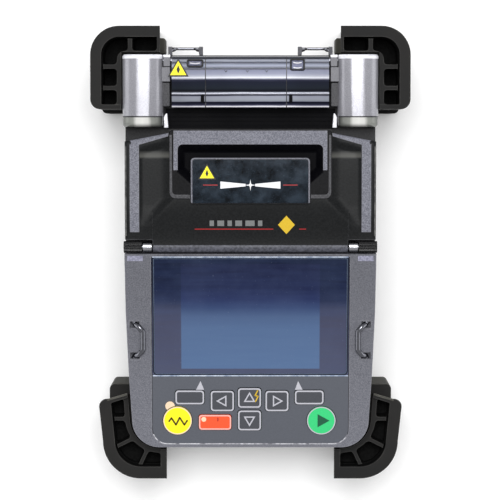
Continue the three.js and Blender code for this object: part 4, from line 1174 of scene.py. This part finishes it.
def heater_clamp(side, sign):
    """A silver clamp: an arched shell, a sloping nose with a painted highlight along its crown, a pale rear
    rim that is a painted highlight, and a dark seam.
    """
    x0, x1, y0, y1 = CLAMP_X0 - 1, CLAMP_X1 + 1, CLAMP_Y0, CLAMP_Y1
    wall, back, lead_in, seam_y = 1.8, 94.4, 85.3, 70.0
    outer = arched(63.0, (
        (y0 - 0.2, 73.4, 1.0), (y0 + 0.3, 76.0, 0.5), (65.9, 77.4, 0.15), (67.0, 78.0, 0.05),
        (69.8, 78.35, 0.0), (70.1, 78.6, 0.0), (y1 - 0.9, 78.6, 0.0), (y1, 77.9, 0.6),
    ))
    shell = cut(
        outer,
        arched(62.0, ((y0 + 5, CLAMP_TOP, wall), (back, CLAMP_TOP, wall))),
        box(CLAMP_X0 + wall, CLAMP_X1 - wall, y0 + wall, back, 60, 68),
        box(x0, x1, back, y1 + 1, 60, ROD_Z - 3),
        box(x0, x1, lead_in - 1.2, lead_in + 1.2, 60, 67.4),
        prism([(ROD_Y + 1, 67), (y1 + 1, 67), (y1 + 1, 71.8), (y1, 70.6)], x0, x1, "x"),
        turned([(ROD_R + 0.25, 40), (ROD_R + 0.25, 63)], "x", (ROD_Y, ROD_Z), 24),
    )
    # the nose faces get the silver with the painted highlight
    shell = paint(shell, lambda c, n: c.y < seam_y, 1)
    # pale rear rim: a painted highlight along the clamp's rear edge
    rim = arched(70, ((98.9, 78.7, -0.1), (100.1, 78.7, -0.1), (100.95, 78.05, 0.45)))
    rim = cut(rim, arched(69, ((98, CLAMP_TOP, 0.9), (102, CLAMP_TOP, 0.9))))
    seam = arched(66, ((69.6, 78.68, -0.06), (70.15, 78.68, -0.06)))
    name = "heater_clamp_" + side
    made = {}
    for part, bm, finish in (
        ("_shell", shell, [SILVER, SILVER_NOSE_HIGHLIGHT]), ("_rim", rim, WHITE_EDGE), ("_seam", seam, BLACK)
    ):
        bm = bm if sign > 0 else mirrored(bm)
        made[part] = piece(name + part, bm, finish, name, "silver", angle=38)
    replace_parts(made["_shell"], name)


def heater_surround():
    """Near-black ribbed plate between cover and heater that is painted shade, bright brackets that are
    painted highlights, and the clamps' inner flanges.
    """
    # painted shade: a near-black plate laid over the deck between cover and heater
    shade_plate = box(-43, 43, 63.9, 74.1, 62.2, 62.9)
    ribs = [box(-42, 42, y, y + 0.5, 62.8, 63.15) for y in (65.2, 67.4, 69.6, 71.8)]
    piece("deck_shade_plate", join(shade_plate, *ribs), RECESS_SHADE, "base", "casing", bevel=0.1)
    bracket = [(41.4, 64.3), (43.5, 64.3), (43.7, 69.6), (42.6, 71.6), (42.0, 71.6)]
    lug, lug_highlight = rounded(40.2, 43.7, 95.0, 100.8, 0.3), rounded(40.2, 43.7, 99.6, 100.9, 0.3)
    flange, rest = rounded(40.2, 44.6, 87.4, 94.8, 0.4), rounded(40.5, 44.5, 75.0, 87.0, 0.8)
    for side, sign in SIDES:
        clamp_name = "heater_clamp_" + side
        for name, outline, low, high, finish, body, slot, bevel, steps in (
            # near-white brackets: painted highlight on their bright metal
            ("heater_bracket_" + side, bracket, 62.6, 70.4, WHITE_EDGE, "base", "steel", 0.3, 2),
            ("rod_lug_cap_" + side, lug, 73.3, 74.2, SILVER_DULL_SHADED, "base", "silver", 0.25, 2),
            # pale strip on each rod lug's rear edge: painted highlight
            ("rod_lug_edge_" + side, lug_highlight, 73.6, 74.3, WHITE_EDGE, "base", "silver", 0.15, 2),
            (clamp_name + "_flange", flange, 73.5, 74.2, SILVER_DULL_SHADED, clamp_name, "silver", 0.3, 3),
            (clamp_name + "_rest", rest, 71.6, 72.6, CROWN_EDGE, clamp_name, "silver", 0.4, 3),
        ):
            piece(name, prism(flipped(outline, sign), low, high), finish, body, slot, bevel, steps)


# ---- strap rings
FRONT_RING_X, FRONT_RING_Y, REAR_RING_X = 59, -44.2, 32.9


def wire_ring(half_length, reach, straight, rise):
    """The path of a ring's wire: out of one eye, round by reach and rise, and into the other."""
    half = [
        (0, half_length + 2.1, 0), (0, half_length + 0.5, 0), (0.4, half_length - 0.4, rise * 0.15),
        (1.3, half_length - 0.9, rise * 0.55), (2.5, half_length - 1.5, rise * 0.9),
        (reach - 1.1, straight + 1.3, rise), (reach - 0.2, straight + 0.2, rise),
        (reach, straight - 1.2, rise),
    ]
    return curve_through(half + [(x, -y, z) for x, y, z in reversed(half)], 5)


def strap_ring(name, shape, r, place):
    obj = piece(name + "_wire", tube(wire_ring(*shape), r), CHROME, name, "steel", place=place)
    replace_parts(obj, name)


def strap_rings():
    """Two rings in seats on the panel's edges and two in capped lugs on the rear wall."""
    upright = Matrix.Rotation(math.pi / 2, 4, "Z") @ Matrix.Rotation(math.pi / 2, 4, "Y")
    for side, sign in SIDES:
        seats = []
        for end in (-1, 1):
            y = FRONT_RING_Y + end * 8.0
            outer = sorted((sign * 55.5, sign * 61.2))
            inner = sorted((sign * 56.2, sign * 61.0))
            near, far = sorted((y - end * 1.6, y + end * 1.7))
            seats.append(cut(box(*outer, y - 2.1, y + 2.1, -3.0, -0.05), box(*inner, near, far, -4, 1)))
        piece("ring_seat_" + side, join(*seats), FRAME_GREY, "base", "frame", bevel=0.2, place=PANEL)
        turn = Matrix.Rotation(0 if sign < 0 else math.pi, 4, "Z")
        place = PANEL @ Matrix.Translation((sign * FRONT_RING_X, FRONT_RING_Y, -1.6)) @ turn
        strap_ring("strap_ring_front_" + side, (8.7, 4.5, 4.8, 2.85), 1.3, place)
        place = Matrix.Translation((sign * REAR_RING_X, BODY_REAR + 2.6, 57)) @ upright
        strap_ring("strap_ring_rear_" + side, (6.3, 9.5, 6.0, 1.2), 0.75, place)
        for end in (-1, 1):
            x = sign * REAR_RING_X + end * 7.8
            cap = box(x - 1.05, x + 1.05, BODY_REAR + 0.3, BODY_REAR + 4.5, 58.6, 59.7)
            name = f"ring_lug_cap_{side}_{'in' if end * sign < 0 else 'out'}"
            piece(name, cap, BRACKET, "base", "steel", bevel=0.3, steps=3)


# ---- screen and keys
KEY_TOP = 0.25
PRINT_LOW = KEY_TOP - 0.1  # print on the keys starts a little below their tops
RECT_KEYS = {
    "key_soft_left": (-38.2, -23.6, -77.6, -70.4),
    "key_left": (-20.2, -8.4, -81.2, -70.6),
    "key_up": (-6.3, 5.4, -79.4, -69.2),
    "key_down": (-6.3, 5.4, -91.3, -80.9),
    "key_right": (7.7, 19.4, -81.2, -70.6),
    "key_soft_right": (22.7, 37.3, -77.6, -70.4),
    "key_power": (-26.3, -9.8, -91.0, -83.2),
}
ARROWS = {"key_left": 180, "key_up": 90, "key_down": 270, "key_right": 0}
HEAT_X, START_X, ROUND_Y, ROUND_R = -37.2, 36.2, -86.2, 7.3


def printed(name, bm, finish, body, slot, bevel=0.0):
    piece(name, bm, finish, body, slot, bevel, place=PANEL)


def key_outline(key, finish):
    """A rounded frame printed round the edge of a rectangular key."""
    width = 0.75
    x0, x1, y0, y1 = RECT_KEYS[key]
    outer = rounded(x0, x1, y0, y1, 1.6, steps=6)
    inner = rounded(x0 + width, x1 - width, y0 + width, y1 - width, 1.0, steps=6)
    printed(key + "_outline", band(outer, inner, PRINT_LOW, KEY_TOP + 0.08), finish, key, "ceramic")


def arrow(key, degrees):
    """An open triangle on a key that points along degrees."""
    x0, x1, y0, y1 = RECT_KEYS[key]
    middle = Vector(((x0 + x1) / 2, (y0 + y1) / 2))
    turn = Matrix.Rotation(math.radians(degrees), 2)
    shape = [(3.2, 0), (-2.1, 3.0), (-2.1, -3.0)]
    hole = [(-0.35 + (x + 0.35) * 0.62, y * 0.62) for x, y in shape]
    outer, inner = [[tuple(middle + turn @ Vector(p)) for p in points] for points in (shape, hole)]
    printed(key + "_arrow", band(outer, inner, PRINT_LOW, KEY_TOP + 0.06), PRINT, key, "ceramic")


def ribbon(points, width, low, high):
    """A flat zigzag line."""
    parts = [bar(a, b, width, low, high) for a, b in zip(points, points[1:])]
    parts += [prism(circle(x, y, width / 2, 12), low, high) for x, y in points]
    return join(*parts)


def keys():
    """The keys' finishes and everything printed on them."""
    for key in RECT_KEYS:
        power = key == "key_power"
        refine(key, ORANGE if power else KEY_GREY, 0.12)
        key_outline(key, PRINT_PINK if power else PRINT)
    for key, degrees in ARROWS.items():
        arrow(key, degrees)
    for key, x, finish, rim_finish in (
        ("key_heat", HEAT_X, YELLOW, LED_PALE), ("key_start", START_X, GREEN, PRINT)
    ):
        refine(key, finish, 0.2)
        outer, inner = circle(x, ROUND_Y, ROUND_R), circle(x, ROUND_Y, ROUND_R - 0.55)
        printed(key + "_rim", band(outer, inner, PRINT_LOW, KEY_TOP + 0.06), rim_finish, key, "ceramic")
    zigzag = [(-4.3, -0.3), (-3.1, 1.4), (-0.8, -2.2), (1.1, 1.6), (3.5, -2.2), (4.9, 0.0)]
    wave = [(HEAT_X + x, ROUND_Y + y) for x, y in zigzag]
    spark = [(3.7, -70.4), (2.4, -73.0), (3.9, -73.4), (2.6, -76.2)]
    play = [(START_X + x, ROUND_Y + y) for x, y in ((-1.9, 3.4), (-1.9, -3.5), (4.2, 0))]
    heat_lamp = cut(prism(circle(-41.0, -78.6, 2.4), -0.6, 0.12), prism(circle(HEAT_X, ROUND_Y, 7.7), -2, 2))
    lamp = circle(-23.8, -85.5, 1.25)
    mark = [(-16.6, -86.6), (-16.6, -84.6)]
    for row in (
        ("key_heat_wave", ribbon(wave, 0.85, PRINT_LOW, KEY_TOP + 0.08), OLIVE, "key_heat", "black"),
        ("key_up_spark", ribbon(spark, 0.6, PRINT_LOW, KEY_TOP + 0.09), PRINT_AMBER, "key_up", "key_yellow"),
        ("key_start_play", prism(play, PRINT_LOW, KEY_TOP + 0.08), GREEN_DARK, "key_start", "black"),
        ("heat_lamp_window", heat_lamp, LED_PALE, "base", "ceramic", 0.2),
        ("power_lamp", prism(lamp, PRINT_LOW, KEY_TOP + 0.1), LED_PALE, "key_power", "ceramic"),
        ("power_mark", bar(*mark, 0.5, PRINT_LOW, KEY_TOP + 0.09), RED, "key_power", "key_orange"),
    ):
        printed(*row)
    for side, apex, base in (("left", -25.4, (-27.7, -23.6)), ("right", 24.3, (22.7, 26.6))):
        pointer = [(base[0], -70.1), (base[1], -70.1), (apex, -65.5)]
        printed("pointer_" + side, prism(pointer, -0.4, -0.12), PRINT, "base", "ceramic")


def panel():
    """Painted highlights along the window's near and far edges and along the film's near edge, lines round
    the window, the rear rail and two facets with painted highlights.
    """
    outer = rounded(-49.5, 49.5, -62.4, -1.5, 2.2, 0.8)
    middle = rounded(-49.0, 49.0, -61.9, -2.0, 1.8, 0.5)
    inner = rounded(-48.7, 48.7, -61.6, -2.3, 1.5, 0.4)
    near_edge = arc(-42.3, -90.8, 7.75, 200, 270, 12) + arc(42.3, -90.8, 7.75, 270, 340, 12)
    near_edge = [Vector((x, y, -0.25)) for x, y in near_edge]
    for name, bm, finish, slot in (
        # bright strips along the window's edges: painted highlights
        ("window_edge_near", box(-49.6, 49.6, -63.0, -62.45, -0.5, 0.0), WINDOW_EDGE_HIGHLIGHT, "frame"),
        ("window_edge_far", box(-49.4, 49.4, -1.55, -1.1, -0.5, 0.12), WINDOW_EDGE_HIGHLIGHT, "frame"),
        ("window_line_dark", band(outer, middle, -0.4, 0.06), NAVY, "screen"),
        ("window_line_light", band(middle, inner, -0.4, 0.05), SLATE, "screen"),
        # the keypad edge tube is a painted highlight along the film's near rim
        ("keypad_edge_near", tube(near_edge, 0.32, 8), KEYPAD_EDGE_HIGHLIGHT, "frame"),
    ):
        printed(name, bm, finish, "base", slot)
    rail = [(-0.9, -1.0), (0.2, -1.0), (0.2, -0.3), (-0.1, 0.05), (-0.9, 0.05)]
    rail = prism(rail, -BARREL_X, BARREL_X, "x")
    piece("panel_rear_rail", rail, BRACKET, "base", "frame", bevel=0.25, steps=3, place=PANEL)
    for side, sign in SIDES:
        # light facets at the rear corners: painted highlights
        facet = [(sign * x, y) for x, y in ((54.2, -0.7), (62, -0.7), (62.2, -3.4), (54.2, -3.4))]
        printed("panel_facet_" + side, prism(facet, -0.4, 0.12), FACET_HIGHLIGHT, "base", "frame", 0.1)


# ---- the CAD nodes that stay
# finish, bevel width and bevel steps of each CAD node that stays
PLAIN_NODES = {
    "upper_casing": (CASING, 0.8, 3), "lower_casing": (CASING, 0.9, 3), "battery_pack": (CASING, 0.6, 3),
    "battery_latch": (KEY_GREY, 0.5, 3), "port_cover": (RUBBER, 0.4, 3), "port_block": (BLACK, 0.3),
    "main_board": (BOARD,), "arc_unit": (BLACK, 0.5), "tripod_bush": (BRASS, 0.3),
    "cover_seal": (RUBBER, 0.2),
    "panel_frame": (FRAME_GREY, 0.6, 3), "keypad_plate": (OVERLAY, 0.15), "screen_window": (GLASS, 0.35, 3),
    "screen_module": (BLACK,), "key_board": (BOARD,), "splice_chassis": (ALUMINIUM, 0.4),
    "cover_lamp": (CERAMIC, 0.3), "heater_block": (ANODISED, 0.4), "heater_hinge_rod": (CHROME, 0.2),
}
SIDE_NODES = {
    "hinge_barrel": (BARREL, 0.15), "hinge_pin": (STEEL, 0.2), "stage": (ALUMINIUM, 0.3),
    "v_groove": (CERAMIC, 0.1), "fiber_clamp": (BLACK, 0.25), "feed_motor": (STEEL, 0.3),
}
END_NODES = {"electrode": (STEEL,), "microscope": (ANODISED, 0.2)}


def cad_nodes():
    for node, look in PLAIN_NODES.items():
        refine(node, *look)
    for nodes, places in ((SIDE_NODES, ("left", "right")), (END_NODES, ("rear", "front"))):
        for node, look in nodes.items():
            for place in places:
                refine(f"{node}_{place}", *look)


# ---- walls and underside
def wall_strip(y0, y1, z0, z1, out, sign, steps=1):
    """A strip on a side wall: it follows the wall's taper and stands out from it."""
    ys = [y0 + (y1 - y0) * i / steps for i in range(steps + 1)]
    outer = [(half_width(y) + out, y) for y in ys]
    inner = [(half_width(y) - 0.5, y) for y in reversed(ys)]
    return prism(flipped(inner + outer, sign), z0, z1)


def screw(at, axis, out):
    """Pan-head screw with a cross recess, facing along the axis; out is +1 or -1."""
    index = "xyz".index(axis)
    across = [i for i in range(3) if i != index]
    top = at[index] + 0.4 * out
    profile = sorted([(at[index] - 0.4 * out, 1.9), (at[index] + 0.15 * out, 1.9), (top, 1.4)])
    head = turned([(r, along) for along, r in profile], axis, [at[i] for i in across], 24)
    for long_axis in across:
        sides = []
        for i in range(3):
            middle = top if i == index else at[i]
            reach = 1.15 if i == long_axis else 0.26
            sides += [middle - reach, middle + reach]
        head = cut(head, box(*sides))
    return head


def side_walls():
    """Grip pads, parting belts and speaker slots on both sides, and vents on the right; the slots and the
    backing behind the vent fins are near-black, painted shade.
    """
    for side, sign in SIDES:
        ribs = [wall_strip(12 + 3.2 * i, 13.5 + 3.2 * i, 40.5, 57, 0.6, sign) for i in range(13)]
        pad = wall_strip(10, 53.5, 39, 58.5, 0.22, sign)
        piece("grip_pad_" + side, join(pad, *ribs), RUBBER, "base", "rubber", bevel=0.2)
        belt = wall_strip(-66, 66, 33.7, 35.2, 0.45, sign, 14)
        piece("parting_belt_" + side, belt, KEY_GREY, "base", "casing", bevel=0.2)
        # speaker slots: near-black strips that are painted shade
        ports = [wall_strip(-46 + 3.4 * i, -44.2 + 3.4 * i, 44, 52, 0.1, sign) for i in range(9)]
        piece("speaker_slots_" + side, join(*ports), RECESS_SHADE, "base", "black")
    # near-black backing behind the vent fins: painted shade
    back = wall_strip(-46, 4, 11, 29, 0.06, 1, 6)
    piece("vent_back", back, RECESS_SHADE, "base", "black")
    fins = [wall_strip(-45.4 + 3.0 * i, -43.9 + 3.0 * i, 11.5, 28.5, 0.6, 1) for i in range(17)]
    piece("vent_fins", join(*fins), CASING, "base", "casing", bevel=0.25)


def rear_wall():
    """A grille, a plain plate and screws."""
    y = BODY_REAR
    # near-black backing behind the grille fins: painted shade
    piece("rear_grille_back", box(-19, 19, y - 0.5, y + 0.05, 12, 30), RECESS_SHADE, "base", "black")
    fins = [box(-18.4, 18.4, y - 0.4, y + 0.6, 12.6 + 2.5 * i, 13.9 + 2.5 * i) for i in range(7)]
    piece("rear_grille_fins", join(*fins), CASING, "base", "casing", bevel=0.25)
    piece("rear_plate", box(-16, 16, y - 0.4, y + 0.2, 41, 54), ALUMINIUM, "base", "aluminium", bevel=0.12)
    rows = [box(-13.5, 13.5 - 4.5 * (i % 3), y, y + 0.26, 50.6 - 2.5 * i, 51.3 - 2.5 * i) for i in range(4)]
    piece("rear_plate_rows", join(*rows), INK, "base", "black")
    screws = [screw((x, y, z), "y", 1) for x in (-36, 36) for z in (12, 30)]
    piece("rear_screws", join(*screws), STEEL, "base", "steel", bevel=0.08)


def underside():
    """Screws, ribs and a plain plate on the casing's floor."""
    z = FLOOR_Z
    screws = [screw((x, y, z), "z", -1) for x in (-40, 40) for y in (-62, 14, 84)]
    piece("under_screws", join(*screws), STEEL, "base", "steel", bevel=0.08)
    ribs = [box(-30, 30, y, y + 1.6, z - 0.8, z + 0.4) for y in (46, 52, 58, 64, 70)]
    piece("under_ribs", join(*ribs), CASING, "base", "casing", bevel=0.3)
    plate = box(-24, 24, -54, -24, z - 0.25, z + 0.3)
    piece("under_plate", plate, ALUMINIUM, "base", "aluminium", bevel=0.12)
    rows = [box(-20, 20 - 6 * (i % 3), -50 + 4 * i, -49 + 4 * i, z - 0.32, z) for i in range(6)]
    piece("under_plate_rows", join(*rows), INK, "base", "black")


def battery_details():
    """Grip ribs, charge lamps, end contacts and a plain label on the sliding battery."""
    name = "battery"
    x0, x1, y0, y1, top = -62.5, 32, -58, 2, 33
    ribs = [wall_strip(y, y + 1.0, 12, 30, 0.3, -1) for y in (-54, -51.6, -49.2, -46.8, -44.4)]
    piece("battery_ribs", join(*ribs), RUBBER, name, "rubber", bevel=0.2)
    lamps = [wall_strip(y, y + 1.6, 14, 15.6, -0.1, -1) for y in (-16, -12.6, -9.2, -5.8)]
    piece("battery_lamps", join(*lamps), GREEN, name, "key_green", bevel=0.1)
    contacts = [box(x1 - 0.3, x1 + 0.12, y0 + 12 + 6 * i, y0 + 15 + 6 * i, 14, 27) for i in range(6)]
    piece("battery_contacts", join(*contacts), BRASS, name, "brass", bevel=0.05)
    piece("battery_label", box(-42, 14, y0 + 9, y1 - 9, top - 0.3, top + 0.1), PRINT, name, "ceramic")
    rows = []
    for i in range(7):
        y = y0 + 14 + 5 * i
        rows.append(box(-38, 10 - 9 * (i % 3), y, y + 1.2, top, top + 0.14))
    piece("battery_rows", join(*rows), INK, name, "black")
    grooves = [box(x0 + 12 + 7 * i, x0 + 13 + 7 * i, side, side + 0.12, 12, 30) for i in range(11)
               for side in (y0 - 0.12, y1)]
    piece("battery_flutes", join(*grooves), KEY_GREY, name, "casing")


# ---- camera, light and floor
def camera():
    """Straight above and almost square on, in metres."""
    data = bpy.data.cameras.new("photo_camera")
    data.sensor_width = 36
    data.lens = 153.94
    data.clip_start = 0.05
    data.clip_end = 20
    obj = bpy.data.objects.new("photo_camera", data)
    obj.location = (-0.0002, 0.06315, 1.150)
    obj.rotation_euler = (math.radians(-3.21), 0, 0)
    SCENE.collection.objects.link(obj)
    SCENE.camera = obj


def softbox(name, location, target, width, height, watts):
    """A rectangular light at location that faces target, in metres."""
    data = bpy.data.lights.new(name, "AREA")
    data.shape = "RECTANGLE"
    data.size, data.size_y = width, height
    data.energy = watts
    obj = bpy.data.objects.new(name, data)
    obj.location = location
    aim = Vector(target) - Vector(location)
    obj.rotation_euler = aim.to_track_quat("-Z", "Y").to_euler()
    SCENE.collection.objects.link(obj)


def studio():
    """White surroundings, one large light overhead, two at the sides, and the floor."""
    SCENE.view_settings.view_transform = "Standard"
    world = bpy.data.worlds.new("studio")
    world.use_nodes = True
    background = world.node_tree.nodes["Background"]
    background.inputs["Color"].default_value = (1.0, 1.0, 1.0, 1)
    background.inputs["Strength"].default_value = 0.55
    SCENE.world = world
    softbox("overhead", (0, 0.44, 1.65), (0, 0.44, 0), 0.92, 0.74, 24)
    softbox("fill_left", (-1.9, -0.1, 0.45), (0, 0, 0.05), 1.6, 1.0, 7)
    softbox("fill_right", (1.9, -0.1, 0.45), (0, 0, 0.05), 1.6, 1.0, 7)
    reach, drop = 4.0, 0.0004
    corners = ((-reach, -reach), (reach, -reach), (reach, reach), (-reach, reach))
    bm = bmesh.new()
    bm.faces.new([bm.verts.new((x, y, -drop)) for x, y in corners])
    mesh = bpy.data.meshes.new("floor")
    bm.to_mesh(mesh)
    bm.free()
    floor = bpy.data.objects.new("floor", mesh)
    mesh.materials.append(floor_paper())
    SCENE.collection.objects.link(floor)


camera()
studio()
cad_nodes()
panel()
keys()
bumpers()
wind_cover()
heater_lid()
for clamp_side, clamp_sign in SIDES:
    heater_clamp(clamp_side, clamp_sign)
heater_surround()
strap_rings()
side_walls()
rear_wall()
underside()
battery_details()
